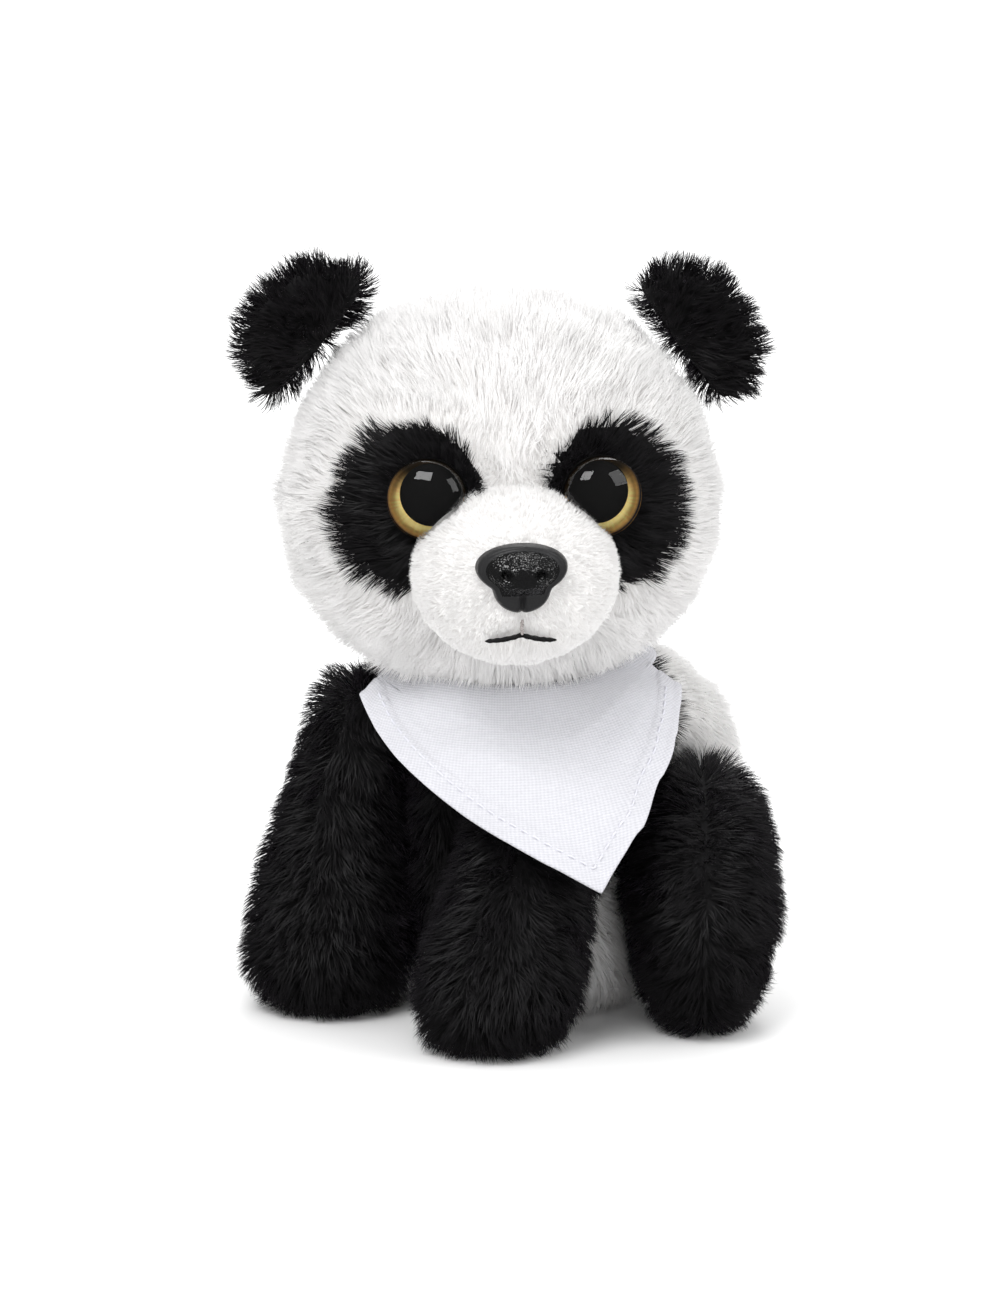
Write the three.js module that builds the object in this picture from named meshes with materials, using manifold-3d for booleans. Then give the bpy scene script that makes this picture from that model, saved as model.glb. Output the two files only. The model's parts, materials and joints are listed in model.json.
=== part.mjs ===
// A sitting plush panda with a bandana: plush covers over stuffing, moulded eyes and nose.
// Millimetres, +Z up. The origin is on the floor under the torso; the torso faces -Y and the
// panda's own left is +X. The head is turned towards its left.
import * as THREE from 'three';
import { mergeVertices } from 'three/addons/utils/BufferGeometryUtils.js';
import { LoftGeometry } from 'three/addons/geometries/LoftGeometry.js';
import Module from 'manifold-3d';

const wasm = await Module();
wasm.setup();

// ---------------------------------------------------------------- driving dimensions
const GAP = 0.3; // between neighbouring pieces
const COVER = 4; // plush cover: 1 mm of backing and 3 mm of pile pressed flat
const MUZZLE_COVER = 3; // the muzzle's pile is shorter

// Rows of a stack of horizontal ovals: [height, centre x, centre y, half width, half depth].
const TORSO_ROWS = [
  [0, 0, 16, 30, 30],
  [6, 0, 16, 35, 35],
  [20, 0, 15, 37, 37],
  [36, 0, 14.2, 39.6, 38.7],
  [48, 0, 13, 40.6, 39.2],
  [60, 0, 9.4, 35.4, 34.6],
  [69, 0, 4, 27, 25],
  [76, 0, 1, 16, 15],
];
const FRONT_LEG_ROWS = [
  [0, 19, -31.5, 9.5, 10.5],
  [2.5, 19, -32, 14, 15],
  [9, 19.4, -32, 17.4, 18],
  [18, 20.4, -30, 17, 17],
  [30, 21.6, -26.5, 14.9, 15.2],
  [43, 21.6, -22, 12.8, 13.6],
  [54, 21.2, -18, 11.6, 12.4],
];
const HIND_LEG_ROWS = [
  [0, 0, 0, 6.5, 12],
  [3, 0, 0, 9.6, 16.5],
  [13, 0, 0, 13.8, 22.5],
  [27, 0, 0, 15.4, 24.5],
  [39, 0, 2, 14.2, 21],
  [48, 0, 4, 10.8, 14.5],
  [53, 0, 5, 5, 6.5],
];

const SHOULDER = { x: 21, y: -17, z: 57, radius: 12.6 };
const LIMB_ROOM = 2; // between a limb and the torso
const SOCKET_COVER = 2; // the torso's cover where a limb presses it in
const RIGHT_FOOT = { out: 7, back: 10 }; // where the right front foot stands beside the left's mirror place

// The hind legs' middles and how far they point outwards. The right one is tucked in.
const LEFT_HIP = { x: 44, y: 5.5, toeOut: 33 };
const RIGHT_HIP = { x: 40, y: 16, toeOut: 8 };

const NECK_PIVOT = new THREE.Vector3(0, -1, 74);
const NECK_RADIUS = 14;
const NECK_ROOM = 1;
const HEAD_TURN = 37.5; // degrees towards the panda's left
const HEAD_FORWARD = 6; // the head's centre in front of the neck, in the direction it faces
const HEAD_RISE = 35; // and above it
const HEAD_CENTRE = new THREE.Vector3(0, -HEAD_FORWARD, HEAD_RISE)
  .applyAxisAngle(new THREE.Vector3(0, 0, 1), radians(HEAD_TURN))
  .add(NECK_PIVOT);
const HEAD_ROOM = 5; // between the head and the torso's top, for nodding
const HEAD = { halfWidth: 41, halfDepth: 39.5, halfHeight: 37, cheeks: 0.13 };
const EAR_SEAM_Y = 8; // the seam over the crown, ear to ear, behind the head's middle

const MUZZLE = { y: -38, z: -11.2, halfWidth: 20, halfDepth: 17, halfHeight: 17.4 };
const EYE = { x: 16.5, y: -34.9, z: 3.6, outward: 14, upward: 3, radius: 8 };
const PATCH = { x: 19.6, z: 0.4, halfWidth: 12.5, halfHeight: 15.6, slant: 24 };
const NOSE = { y: -54.8, z: -5.9, halfWidth: 9, halfHeight: 5 };
const SHANK_RADIUS = 1.9;
const EYE_WASHER = { radius: 6.6, thickness: 1.4, depth: 6.2 };
const NOSE_WASHER = { radius: 5.2, thickness: 1.4, depth: 6.4 };

const EAR = { seamX: 32.5, seamZ: 22.4, lean: 38, crook: 1.6, halfWidth: 16.5, height: 16, panel: 3.6, offset: 2.6 };

const TAIL = { z: 20, rootY: 53.2, length: 19, halfWidth: 9.5 };
const BEAN_BAG = { y: 16, z: 14.5, halfWidth: 20, halfDepth: 23, halfHeight: 8.5 };

// The yoke is the black part of the torso: everything in front of this leaning plane.
const YOKE_SEAM = { y: 5, z: 48, lean: 29 };

// The bandana, by bearing from the torso's front (degrees, towards the panda's left).
const BANDANA = {
  neckY: -1, thickness: 0.8, topZ: 74.5,
  leftBearing: -17, tipBearing: 55, rightBearing: 104,
  leftZ: 68.5, tipZ: 34.5, rightZ: 67, leftSag: -1.2, rightRise: 6,
  neckRadius: 28.5, flare: 21, bandHeight: 4,
  chinBearing: 40, chinDip: 1.8, chinTuck: 2.5,
};

// ---------------------------------------------------------------- materials
function material(color, roughness, metalness = 0) {
  return new THREE.MeshStandardMaterial({ color, roughness, metalness });
}
const blackPlush = material(0x0d0c0e, 0.95);
const whitePlush = material(0xf1efec, 0.95);
const muzzlePlush = material(0xf4f1ee, 0.9);
const stuffing = material(0xe8e8e4, 1);
const pelletCloth = material(0xd8d4c8, 0.9);
const twill = material(0xe4e4ee, 0.8);
const blackPlastic = material(0x0a0a0b, 0.25);
const goldFoil = material(0xc58a2c, 0.3, 0.7);
const clearPlastic = material(0xf4f4f4, 0.05);
const washerPlastic = material(0xd9d9d6, 0.6);
const blackThread = material(0x121012, 0.9);
const paleThread = material(0xcfc8c2, 0.9);

// ---------------------------------------------------------------- solids
// A closed geometry as a solid for joining and cutting.
function solidOf(geometry) {
  const plain = new THREE.BufferGeometry().copy(geometry);
  plain.deleteAttribute('normal');
  plain.deleteAttribute('uv');
  const merged = mergeVertices(plain, 1e-4);
  return new wasm.Manifold(new wasm.Mesh({
    numProp: 3,
    vertProperties: Float32Array.from(merged.attributes.position.array),
    triVerts: Uint32Array.from(merged.index.array),
  }));
}

function geometryOf(solid) {
  const mesh = solid.getMesh();
  const geometry = new THREE.BufferGeometry();
  geometry.setAttribute('position', new THREE.BufferAttribute(Float32Array.from(mesh.vertProperties), 3));
  geometry.setIndex(Array.from(mesh.triVerts));
  geometry.computeVertexNormals();
  return geometry;
}

// The largest connected body, without the slivers that a cut can leave.
function mainBody(solid) {
  const bodies = solid.decompose();
  return bodies.reduce((best, body) => (body.volume() > best.volume() ? body : best));
}

function addPiece(group, name, solid, look) {
  const mesh = new THREE.Mesh(geometryOf(mainBody(solid)), look);
  mesh.name = name;
  group.add(mesh);
}

function radians(degrees) {
  return THREE.MathUtils.degToRad(degrees);
}

// Horizontal ovals stacked into a closed form, shrunk on all sides by inset.
function ovalStack(rows, inset = 0, { steps = 6, around = 12 } = {}) {
  const centres = new THREE.CatmullRomCurve3(rows.map(([z, x, y]) => new THREE.Vector3(x, y, z)));
  const sizes = new THREE.CatmullRomCurve3(rows.map(([, , , a, b]) => new THREE.Vector3(a, b, 0)));
  const low = rows[0][0];
  const high = rows[rows.length - 1][0];
  const squeeze = (high - low - 2 * inset) / (high - low);
  const sections = [];
  for (let step = 0; step <= steps; step += 1) {
    const centre = centres.getPoint(step / steps);
    const size = sizes.getPoint(step / steps);
    const z = low + inset + (centre.z - low) * squeeze;
    const ring = [];
    for (let corner = 0; corner < around; corner += 1) {
      const angle = (corner / around) * 2 * Math.PI;
      const halfWidth = Math.max(size.x - inset, 1);
      const halfDepth = Math.max(size.y - inset, 1);
      ring.push(new THREE.Vector3(
        centre.x + halfWidth * Math.cos(angle),
        centre.y + halfDepth * Math.sin(angle),
        z,
      ));
    }
    sections.push(ring);
  }
  return new LoftGeometry(sections, { capStart: true, capEnd: true });
}

// An ellipsoid with its poles along Z.
function ellipsoid(halfWidth, halfDepth, halfHeight, around = 12, up = 8) {
  const geometry = new THREE.SphereGeometry(1, around, up);
  geometry.rotateX(Math.PI / 2);
  geometry.scale(halfWidth, halfDepth, halfHeight);
  return geometry;
}

function ellipsoidAt(centre, halfWidth, halfDepth, halfHeight, around, up) {
  const geometry = ellipsoid(halfWidth, halfDepth, halfHeight, around, up);
  geometry.translate(centre.x, centre.y, centre.z);
  return solidOf(geometry);
}

function ballAt(centre, radius, around, up) {
  return ellipsoidAt(centre, radius, radius, radius, around, up);
}

// A large block on the far side of a plane, for keeping one side of a cut.
function halfSpace(point, normal) {
  const reach = 400;
  const geometry = new THREE.BoxGeometry(reach, reach, reach);
  geometry.translate(0, 0, reach / 2);
  const turn = new THREE.Quaternion().setFromUnitVectors(new THREE.Vector3(0, 0, 1), normal);
  geometry.applyQuaternion(turn);
  geometry.translate(point.x, point.y, point.z);
  return solidOf(geometry);
}

// Both sides of a seam, half a gap back from it each.
function splitAt(solid, point, normal) {
  const away = normal.clone().negate();
  const front = point.clone().addScaledVector(normal, GAP / 2);
  const back = point.clone().addScaledVector(away, GAP / 2);
  return [solid.intersect(halfSpace(front, normal)), solid.intersect(halfSpace(back, away))];
}

// A round bar with its flat ends at heights from and to, along the axis of a placement matrix.
function bar(radius, from, to, matrix, around = 12) {
  const geometry = new THREE.CylinderGeometry(radius, radius, to - from, around);
  geometry.rotateX(Math.PI / 2);
  geometry.translate(0, 0, (from + to) / 2);
  geometry.applyMatrix4(matrix);
  return solidOf(geometry);
}

// A thread of the given radius along a smooth path.
function thread(points, radius, steps) {
  const section = new THREE.Shape().absarc(0, 0, radius, 0, 2 * Math.PI);
  const path = new THREE.CatmullRomCurve3(points);
  return solidOf(new THREE.ExtrudeGeometry(section, { extrudePath: path, steps, curveSegments: 3 }));
}

// ---------------------------------------------------------------- legs
// The front leg's rows on one side. The right leg is splayed and slants less.
function frontLegRows(side) {
  const { out, back } = side > 0 ? { out: 0, back: 0 } : RIGHT_FOOT;
  return FRONT_LEG_ROWS.map(([z, x, y, ...size]) => {
    const share = 1 - z / SHOULDER.z;
    return [z, side * (x + out * share), y + back * share, ...size];
  });
}

// The front leg: an oval limb with a ball at the shoulder.
function frontLegForm(side, inset) {
  const shoulder = new THREE.Vector3(side * SHOULDER.x, SHOULDER.y, SHOULDER.z);
  return solidOf(ovalStack(frontLegRows(side), inset)).add(ballAt(shoulder, SHOULDER.radius - inset));
}

// The hind leg: a thigh and foot in one flattish form that points outwards.
function hindLegForm(side, inset) {
  const hip = side > 0 ? LEFT_HIP : RIGHT_HIP;
  const form = ovalStack(HIND_LEG_ROWS, inset);
  form.rotateZ(side * radians(hip.toeOut));
  form.translate(side * hip.x, hip.y, 0);
  return solidOf(form);
}

// An outer and an inner cover panel with the stuffing between them.
function addLimb(group, name, form, seamPoint, seamNormal) {
  const cover = form(0).subtract(form(COVER));
  const [outer, inner] = splitAt(cover, seamPoint, seamNormal);
  addPiece(group, `${name}_outer_cover`, outer, blackPlush);
  addPiece(group, `${name}_inner_cover`, inner, blackPlush);
  addPiece(group, `${name}_stuffing`, form(COVER + GAP), stuffing);
}

function addFrontLeg(group, side, word) {
  const seam = new THREE.Vector3(frontLegRows(side)[4][1], 0, 0);
  const outwards = new THREE.Vector3(side, 0, 0);
  addLimb(group, `front_leg_${word}`, (inset) => frontLegForm(side, inset), seam, outwards);
}

function addHindLeg(group, side, word) {
  const hip = side > 0 ? LEFT_HIP : RIGHT_HIP;
  const turn = side * radians(hip.toeOut);
  const outwards = new THREE.Vector3(side * Math.cos(turn), side * Math.sin(turn), 0);
  const seam = new THREE.Vector3(side * hip.x, hip.y, 0);
  addLimb(group, `hind_leg_${word}`, (inset) => hindLegForm(side, inset), seam, outwards);
}

// ---------------------------------------------------------------- torso
function tailForm(inset) {
  const half = TAIL.length / 2;
  const middle = new THREE.Vector3(0, TAIL.rootY + half, TAIL.z);
  return ellipsoidAt(middle, TAIL.halfWidth - inset, half - inset, TAIL.halfWidth - inset);
}

// Room in the torso for the neck, the limbs and the nodding head, which only swing away from it.
function torsoSockets(margin) {
  let sockets = ballAt(NECK_PIVOT, NECK_RADIUS + NECK_ROOM + margin, 12, 8);
  for (const side of [1, -1]) {
    const room = LIMB_ROOM + margin;
    sockets = sockets.add(frontLegForm(side, -room)).add(hindLegForm(side, -room));
  }
  const plan = HEAD.halfWidth + HEAD_ROOM + margin;
  return sockets.add(ellipsoidAt(HEAD_CENTRE, plan, plan, HEAD.halfHeight + HEAD_ROOM + margin, 16, 10));
}

// The torso with its sockets, shrunk by inset outside and by margin in the sockets.
function torsoForm(inset, margin) {
  return solidOf(ovalStack(TORSO_ROWS, inset, { steps: 7, around: 18 })).subtract(torsoSockets(margin));
}

function addTorso(group) {
  const shell = torsoForm(0, 0).subtract(torsoForm(COVER, SOCKET_COVER));

  const up = new THREE.Vector3(0, 0, 1);
  const seatSeam = new THREE.Vector3(0, 0, COVER + GAP);
  const [walls, seat] = splitAt(shell, seatSeam, up);
  addPiece(group, 'seat_panel', seat, whitePlush);

  const lean = radians(YOKE_SEAM.lean);
  const backwards = new THREE.Vector3(0, Math.cos(lean), -Math.sin(lean));
  const yokeSeam = new THREE.Vector3(0, YOKE_SEAM.y, YOKE_SEAM.z);
  const [back, yoke] = splitAt(walls, yokeSeam, backwards);
  addPiece(group, 'chest_yoke_cover', yoke, blackPlush);
  const [left, right] = splitAt(back, new THREE.Vector3(), new THREE.Vector3(1, 0, 0));
  addPiece(group, 'back_cover_left', left, whitePlush);
  addPiece(group, 'back_cover_right', right, whitePlush);

  const pouchSize = [BEAN_BAG.halfWidth, BEAN_BAG.halfDepth, BEAN_BAG.halfHeight];
  const pouchCentre = new THREE.Vector3(0, BEAN_BAG.y, BEAN_BAG.z);
  addPiece(group, 'pellet_pouch', ellipsoidAt(pouchCentre, ...pouchSize), pelletCloth);

  // The pouch is pushed in through the seat opening, so the stuffing is open below it.
  const roomy = pouchSize.map((half) => half + GAP);
  const below = new THREE.CylinderGeometry(12, 12, BEAN_BAG.z, 24);
  below.rotateX(Math.PI / 2);
  below.translate(0, BEAN_BAG.y, BEAN_BAG.z / 2);
  const core = torsoForm(COVER + GAP, SOCKET_COVER + GAP)
    .subtract(ellipsoidAt(pouchCentre, ...roomy))
    .subtract(solidOf(below));
  addPiece(group, 'torso_stuffing', core, stuffing);
}

function addTail(group) {
  const cover = tailForm(0).subtract(tailForm(COVER));
  const [upper, lower] = splitAt(cover, new THREE.Vector3(0, 0, TAIL.z), new THREE.Vector3(0, 0, 1));
  addPiece(group, 'tail_upper_cover', upper, whitePlush);
  addPiece(group, 'tail_lower_cover', lower, whitePlush);
  addPiece(group, 'tail_stuffing', tailForm(COVER + GAP), stuffing);
}

// ---------------------------------------------------------------- bandana
// How much of the chin's push the cloth gets at a bearing: 1 below the chin, 0 from 65 degrees aside.
function chinShare(bearing) {
  const turn = THREE.MathUtils.euclideanModulo(bearing - BANDANA.chinBearing + 180, 360) - 180;
  return Math.cos(Math.min((Math.abs(turn) / 65) * (Math.PI / 2), Math.PI / 2)) ** 2;
}

// How far the cloth stands from the neck's axis: out over the shoulder, then down.
function bandanaReach(bearing, z) {
  const drop = THREE.MathUtils.clamp((BANDANA.topZ - z) / (BANDANA.topZ - BANDANA.tipZ), 0, 1);
  const outward = Math.sin((Math.PI / 2) * Math.pow(drop, 0.75));
  const aside = (bearing - BANDANA.tipBearing) / 100;
  const tucked = BANDANA.chinTuck * chinShare(bearing) * (1 - drop);
  return BANDANA.neckRadius - tucked + BANDANA.flare * outward * (1 - 0.3 * aside * aside);
}

function bandanaHem(bearing) {
  const { leftBearing, tipBearing, rightBearing, leftZ, tipZ, rightZ, leftSag, rightRise } = BANDANA;
  if (bearing < tipBearing) {
    const along = (bearing - leftBearing) / (tipBearing - leftBearing);
    return THREE.MathUtils.lerp(leftZ, tipZ, along) - leftSag * Math.sin(Math.PI * along);
  }
  const along = (bearing - tipBearing) / (rightBearing - tipBearing);
  return THREE.MathUtils.lerp(tipZ, rightZ, along) + rightRise * Math.sin(Math.PI * along);
}

function bandanaPoint(bearing, z, outwards) {
  const reach = bandanaReach(bearing, z) + outwards;
  const angle = radians(bearing);
  return new THREE.Vector3(reach * Math.sin(angle), BANDANA.neckY - reach * Math.cos(angle), z);
}

// A closed strip of cloth: one upright section per bearing, down the front and up the back.
function clothStrip(bearings, hemZ, rows) {
  const sections = bearings.map((bearing) => {
    const topZ = BANDANA.topZ - BANDANA.chinDip * chinShare(bearing);
    const heights = Array.from({ length: rows + 1 }, (_, row) => (
      THREE.MathUtils.lerp(topZ, hemZ(bearing, topZ), row / rows)
    ));
    const front = heights.map((z) => bandanaPoint(bearing, z, BANDANA.thickness));
    const back = heights.map((z) => bandanaPoint(bearing, z, 0)).reverse();
    return [...front, ...back];
  });
  return solidOf(new LoftGeometry(sections, { capStart: true, capEnd: true }));
}

function bearingsBetween(from, to, count) {
  return Array.from({ length: count + 1 }, (_, i) => THREE.MathUtils.lerp(from, to, i / count));
}

function addBandana(group) {
  const { leftBearing, tipBearing, rightBearing, bandHeight } = BANDANA;
  const leftHalf = bearingsBetween(leftBearing, tipBearing, 7);
  const rightHalf = bearingsBetween(tipBearing, rightBearing, 5).slice(1);
  addPiece(group, 'bandana_cloth', clothStrip([...leftHalf, ...rightHalf], bandanaHem, 4), twill);

  const behind = bearingsBetween(rightBearing + 1, leftBearing + 359, 12);
  addPiece(group, 'bandana_neck_band', clothStrip(behind, (bearing, topZ) => topZ - bandHeight, 1), twill);
}

// ---------------------------------------------------------------- neck
function addNeck(group) {
  addPiece(group, 'neck_stuffing', ballAt(NECK_PIVOT, NECK_RADIUS, 12, 8), stuffing);
}

// ---------------------------------------------------------------- head, in its own frame
// The head's oval with full cheeks and a flattish chin, shrunk by inset.
function headForm(inset) {
  const { halfWidth, halfDepth, halfHeight, cheeks } = HEAD;
  const geometry = ellipsoid(halfWidth - inset, halfDepth - inset, halfHeight - inset, 18, 10);
  const position = geometry.attributes.position;
  for (let i = 0; i < position.count; i += 1) {
    const level = position.getZ(i) / halfHeight;
    const fuller = 1 + cheeks * Math.exp(-(((level + 0.62) / 0.4) ** 2));
    position.setX(i, position.getX(i) * fuller);
    position.setY(i, position.getY(i) * fuller);
  }
  return solidOf(geometry);
}

function muzzleForm(inset) {
  const centre = new THREE.Vector3(0, MUZZLE.y, MUZZLE.z);
  const { halfWidth, halfDepth, halfHeight } = MUZZLE;
  return ellipsoidAt(centre, halfWidth - inset, halfDepth - inset, halfHeight - inset, 16, 10);
}

// The place of an eye: +Z of this matrix points out of the face, +Y up and +X to the panda's left.
function eyePlace(side) {
  const place = new THREE.Object3D();
  place.position.set(side * EYE.x, EYE.y, EYE.z);
  place.rotation.order = 'ZXY';
  place.rotation.set(radians(90 - EYE.upward), 0, side * radians(EYE.outward));
  place.updateMatrix();
  return place.matrix;
}

// Room for the eye in what lies in front of its seat.
function eyeSeat(side) {
  return bar(EYE.radius + GAP, -GAP, 20, eyePlace(side));
}

// The slanting oval of an eye patch as a bar straight through the face.
function patchForm(side, grow) {
  const geometry = new THREE.CylinderGeometry(1, 1, 60, 16);
  geometry.scale(PATCH.halfWidth + grow, 1, PATCH.halfHeight + grow);
  geometry.rotateY(side * radians(-PATCH.slant));
  geometry.translate(side * PATCH.x, -30, PATCH.z);
  return solidOf(geometry);
}

function noseMatrix() {
  return new THREE.Matrix4().makeRotationX(Math.PI / 2).setPosition(0, NOSE.y, NOSE.z - 4);
}

// Everything that the eyes' and the nose's shanks and washers pass through.
function headFittings() {
  let holes = bar(SHANK_RADIUS + GAP, -12, 8, noseMatrix());
  for (const side of [1, -1]) holes = holes.add(bar(SHANK_RADIUS + GAP, -14, 4, eyePlace(side)));
  return holes;
}

// A washer pressed onto a shank behind the cover.
function washerForm({ radius, thickness, depth }, matrix) {
  const hole = bar(SHANK_RADIUS + 0.15, -20, 0, matrix);
  return bar(radius, -depth - thickness, -depth, matrix).subtract(hole);
}

// The hollow that a washer leaves in the stuffing, open towards the cover.
function washerRoom({ radius, thickness, depth }, matrix) {
  return bar(radius + GAP, -depth - thickness - GAP, -depth + 4, matrix);
}

function addHeadCovers(group) {
  const holes = headFittings();
  const neckHole = neckInHead(NECK_RADIUS + NECK_ROOM);
  let shell = headForm(0).subtract(headForm(COVER)).subtract(holes).subtract(neckHole);
  shell = shell.subtract(muzzleForm(-GAP));

  for (const [side, word] of [[1, 'left'], [-1, 'right']]) {
    const front = halfSpace(new THREE.Vector3(0, -10, 0), new THREE.Vector3(0, -1, 0));
    const patch = shell.intersect(patchForm(side, 0)).intersect(front).subtract(eyeSeat(side));
    addPiece(group, `eye_patch_${word}`, patch, blackPlush);
  }
  for (const side of [1, -1]) shell = shell.subtract(patchForm(side, GAP));

  const [back, face] = splitAt(shell, new THREE.Vector3(0, EAR_SEAM_Y, 0), new THREE.Vector3(0, 1, 0));
  const middle = new THREE.Vector3();
  const toLeft = new THREE.Vector3(1, 0, 0);
  const [faceLeft, faceRight] = splitAt(face, middle, toLeft);
  const [backLeft, backRight] = splitAt(back, middle, toLeft);
  addPiece(group, 'face_cover_left', faceLeft, whitePlush);
  addPiece(group, 'face_cover_right', faceRight, whitePlush);
  addPiece(group, 'head_back_cover_left', backLeft, whitePlush);
  addPiece(group, 'head_back_cover_right', backRight, whitePlush);

  let muzzle = muzzleForm(0).subtract(muzzleForm(MUZZLE_COVER)).subtract(headForm(-GAP)).subtract(holes);
  for (const side of [1, -1]) muzzle = muzzle.subtract(eyeSeat(side));
  addPiece(group, 'muzzle_cover', muzzle, muzzlePlush);
}

// The neck's ball, seen from the head's frame.
function neckInHead(radius) {
  const pivot = NECK_PIVOT.clone().sub(HEAD_CENTRE);
  pivot.applyAxisAngle(new THREE.Vector3(0, 0, 1), -radians(HEAD_TURN));
  return ballAt(pivot, radius, 12, 8);
}

function addHeadStuffing(group) {
  const core = headForm(COVER + GAP)
    .add(muzzleForm(MUZZLE_COVER + GAP).subtract(eyeSeat(1)).subtract(eyeSeat(-1)))
    .subtract(headFittings())
    .subtract(washerRoom(NOSE_WASHER, noseMatrix()))
    .subtract(washerRoom(EYE_WASHER, eyePlace(1)))
    .subtract(washerRoom(EYE_WASHER, eyePlace(-1)))
    .subtract(neckInHead(NECK_RADIUS + NECK_ROOM));
  addPiece(group, 'head_stuffing', core, stuffing);
}

// A safety eye: base with shank, gold foil iris, pupil and clear dome, and the washer inside.
function addEye(group, side, word) {
  const place = eyePlace(side);
  const irisZ = 1.2 + GAP;
  const pupilZ = irisZ + 0.4 + GAP;
  const lensZ = pupilZ + 0.3 + GAP;
  const base = bar(EYE.radius - 0.1, 0, 1.2, place, 20).add(bar(SHANK_RADIUS, -11, 0.5, place));
  addPiece(group, `eye_${word}_base`, base, blackPlastic);
  addPiece(group, `eye_${word}_iris`, bar(EYE.radius - 0.5, irisZ, irisZ + 0.4, place, 20), goldFoil);

  const shift = new THREE.Matrix4().makeTranslation(-side * 0.8, 0.9, 0);
  const pupilPlace = place.clone().multiply(shift);
  addPiece(group, `eye_${word}_pupil`, bar(5.9, pupilZ, pupilZ + 0.3, pupilPlace, 20), blackPlastic);

  const dome = ellipsoid(EYE.radius - 0.1, EYE.radius - 0.1, 4.6, 20, 8);
  dome.translate(0, 0, lensZ);
  dome.applyMatrix4(place);
  const inFront = new THREE.Vector3(0, 0, lensZ).applyMatrix4(place);
  const outOfFace = new THREE.Vector3(0, 0, 1).transformDirection(place);
  addPiece(group, `eye_${word}_lens`, solidOf(dome).intersect(halfSpace(inFront, outOfFace)), clearPlastic);
  addPiece(group, `eye_${word}_washer`, washerForm(EYE_WASHER, place), washerPlastic);
}

// The nose: a wide oval over a narrower lobe, two nostrils, and a shank with its washer.
function addNose(group) {
  const top = new THREE.Vector3(0, NOSE.y, NOSE.z);
  const lobe = new THREE.Vector3(0, NOSE.y + 0.4, NOSE.z - 4.8);
  let nose = ellipsoidAt(top, NOSE.halfWidth, 5.6, NOSE.halfHeight, 16, 10)
    .add(ellipsoidAt(lobe, 5.5, 5, 4.4, 12, 8))
    .subtract(muzzleForm(-GAP));
  for (const side of [1, -1]) {
    const nostril = new THREE.Vector3(side * 2.9, NOSE.y - 5.4, NOSE.z - 2);
    nose = nose.subtract(ellipsoidAt(nostril, 1.3, 1.6, 1.3, 8, 6));
  }
  addPiece(group, 'nose', nose.add(bar(SHANK_RADIUS, -11, 2, noseMatrix())), blackPlastic);
  addPiece(group, 'nose_washer', washerForm(NOSE_WASHER, noseMatrix()), washerPlastic);
}

// A point just in front of the muzzle, for the threads that lie on it.
function onMuzzle(x, z, proud) {
  const across = x / MUZZLE.halfWidth;
  const level = (z - MUZZLE.z) / MUZZLE.halfHeight;
  const depth = MUZZLE.halfDepth * Math.sqrt(1 - across * across - level * level);
  return new THREE.Vector3(x, MUZZLE.y - depth - proud, z);
}

function addMouth(group) {
  const proud = 1.1;
  const lip = [-16.4, -17.8, -19.2].map((z) => onMuzzle(0, z, proud));
  addPiece(group, 'lip_thread', thread(lip, 0.45, 4), paleThread);
  const smile = [-6.8, -3.4, 0, 3.4, 6.8].map((x) => onMuzzle(x, -20.3 - 0.02 * x * x, proud));
  addPiece(group, 'mouth_thread', thread(smile, 0.5, 10), blackThread);
}

// ---------------------------------------------------------------- ears
// An ear is two half-oval panels, sewn along the rim and set on the crown seam by its straight edge.
function addEar(group, side, word) {
  const outline = new THREE.Shape();
  outline.absellipse(0, 0, EAR.halfWidth, EAR.height, 0, Math.PI, false);
  outline.closePath();
  const ear = new THREE.Group();
  const lean = radians(EAR.lean);
  const outwards = new THREE.Vector3(side * Math.cos(lean), 0, Math.sin(lean));
  ear.position.set(side * EAR.seamX, EAR_SEAM_Y, EAR.seamZ).addScaledVector(outwards, EAR.offset);
  ear.rotation.y = side * (Math.PI / 2 - lean);
  for (const [face, from] of [['front', -EAR.panel - GAP / 2], ['back', GAP / 2]]) {
    const panel = new THREE.ExtrudeGeometry(outline, { depth: EAR.panel, bevelEnabled: false, curveSegments: 12 });
    panel.rotateX(Math.PI / 2);
    panel.translate(0, from + EAR.panel, 0);
    addPiece(ear, `ear_${word}_${face}`, solidOf(panel), blackPlush);
  }
  group.add(ear);
}

// ---------------------------------------------------------------- the whole panda
const group = new THREE.Group();
addTorso(group);
addTail(group);
addNeck(group);
addBandana(group);

const head = new THREE.Group();
head.position.copy(HEAD_CENTRE);
head.rotation.z = radians(HEAD_TURN);
addHeadCovers(head);
addHeadStuffing(head);
addNose(head);
addMouth(head);
group.add(head);

// The ears sit a little crooked on the head, turned towards its left.
const ears = new THREE.Group();
ears.rotation.y = radians(EAR.crook);
head.add(ears);

for (const [side, word] of [[1, 'left'], [-1, 'right']]) {
  addFrontLeg(group, side, word);
  addHindLeg(group, side, word);
  addEye(head, side, word);
  addEar(ears, side, word);
}

export default group;
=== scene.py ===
"""The plush panda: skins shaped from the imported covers, mesh fur, eyes, nose, mouth and bandana."""
import json
import math

import bmesh
import bpy
import numpy as np
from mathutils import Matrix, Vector
from mathutils.bvhtree import BVHTree
from mathutils.kdtree import KDTree


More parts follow.
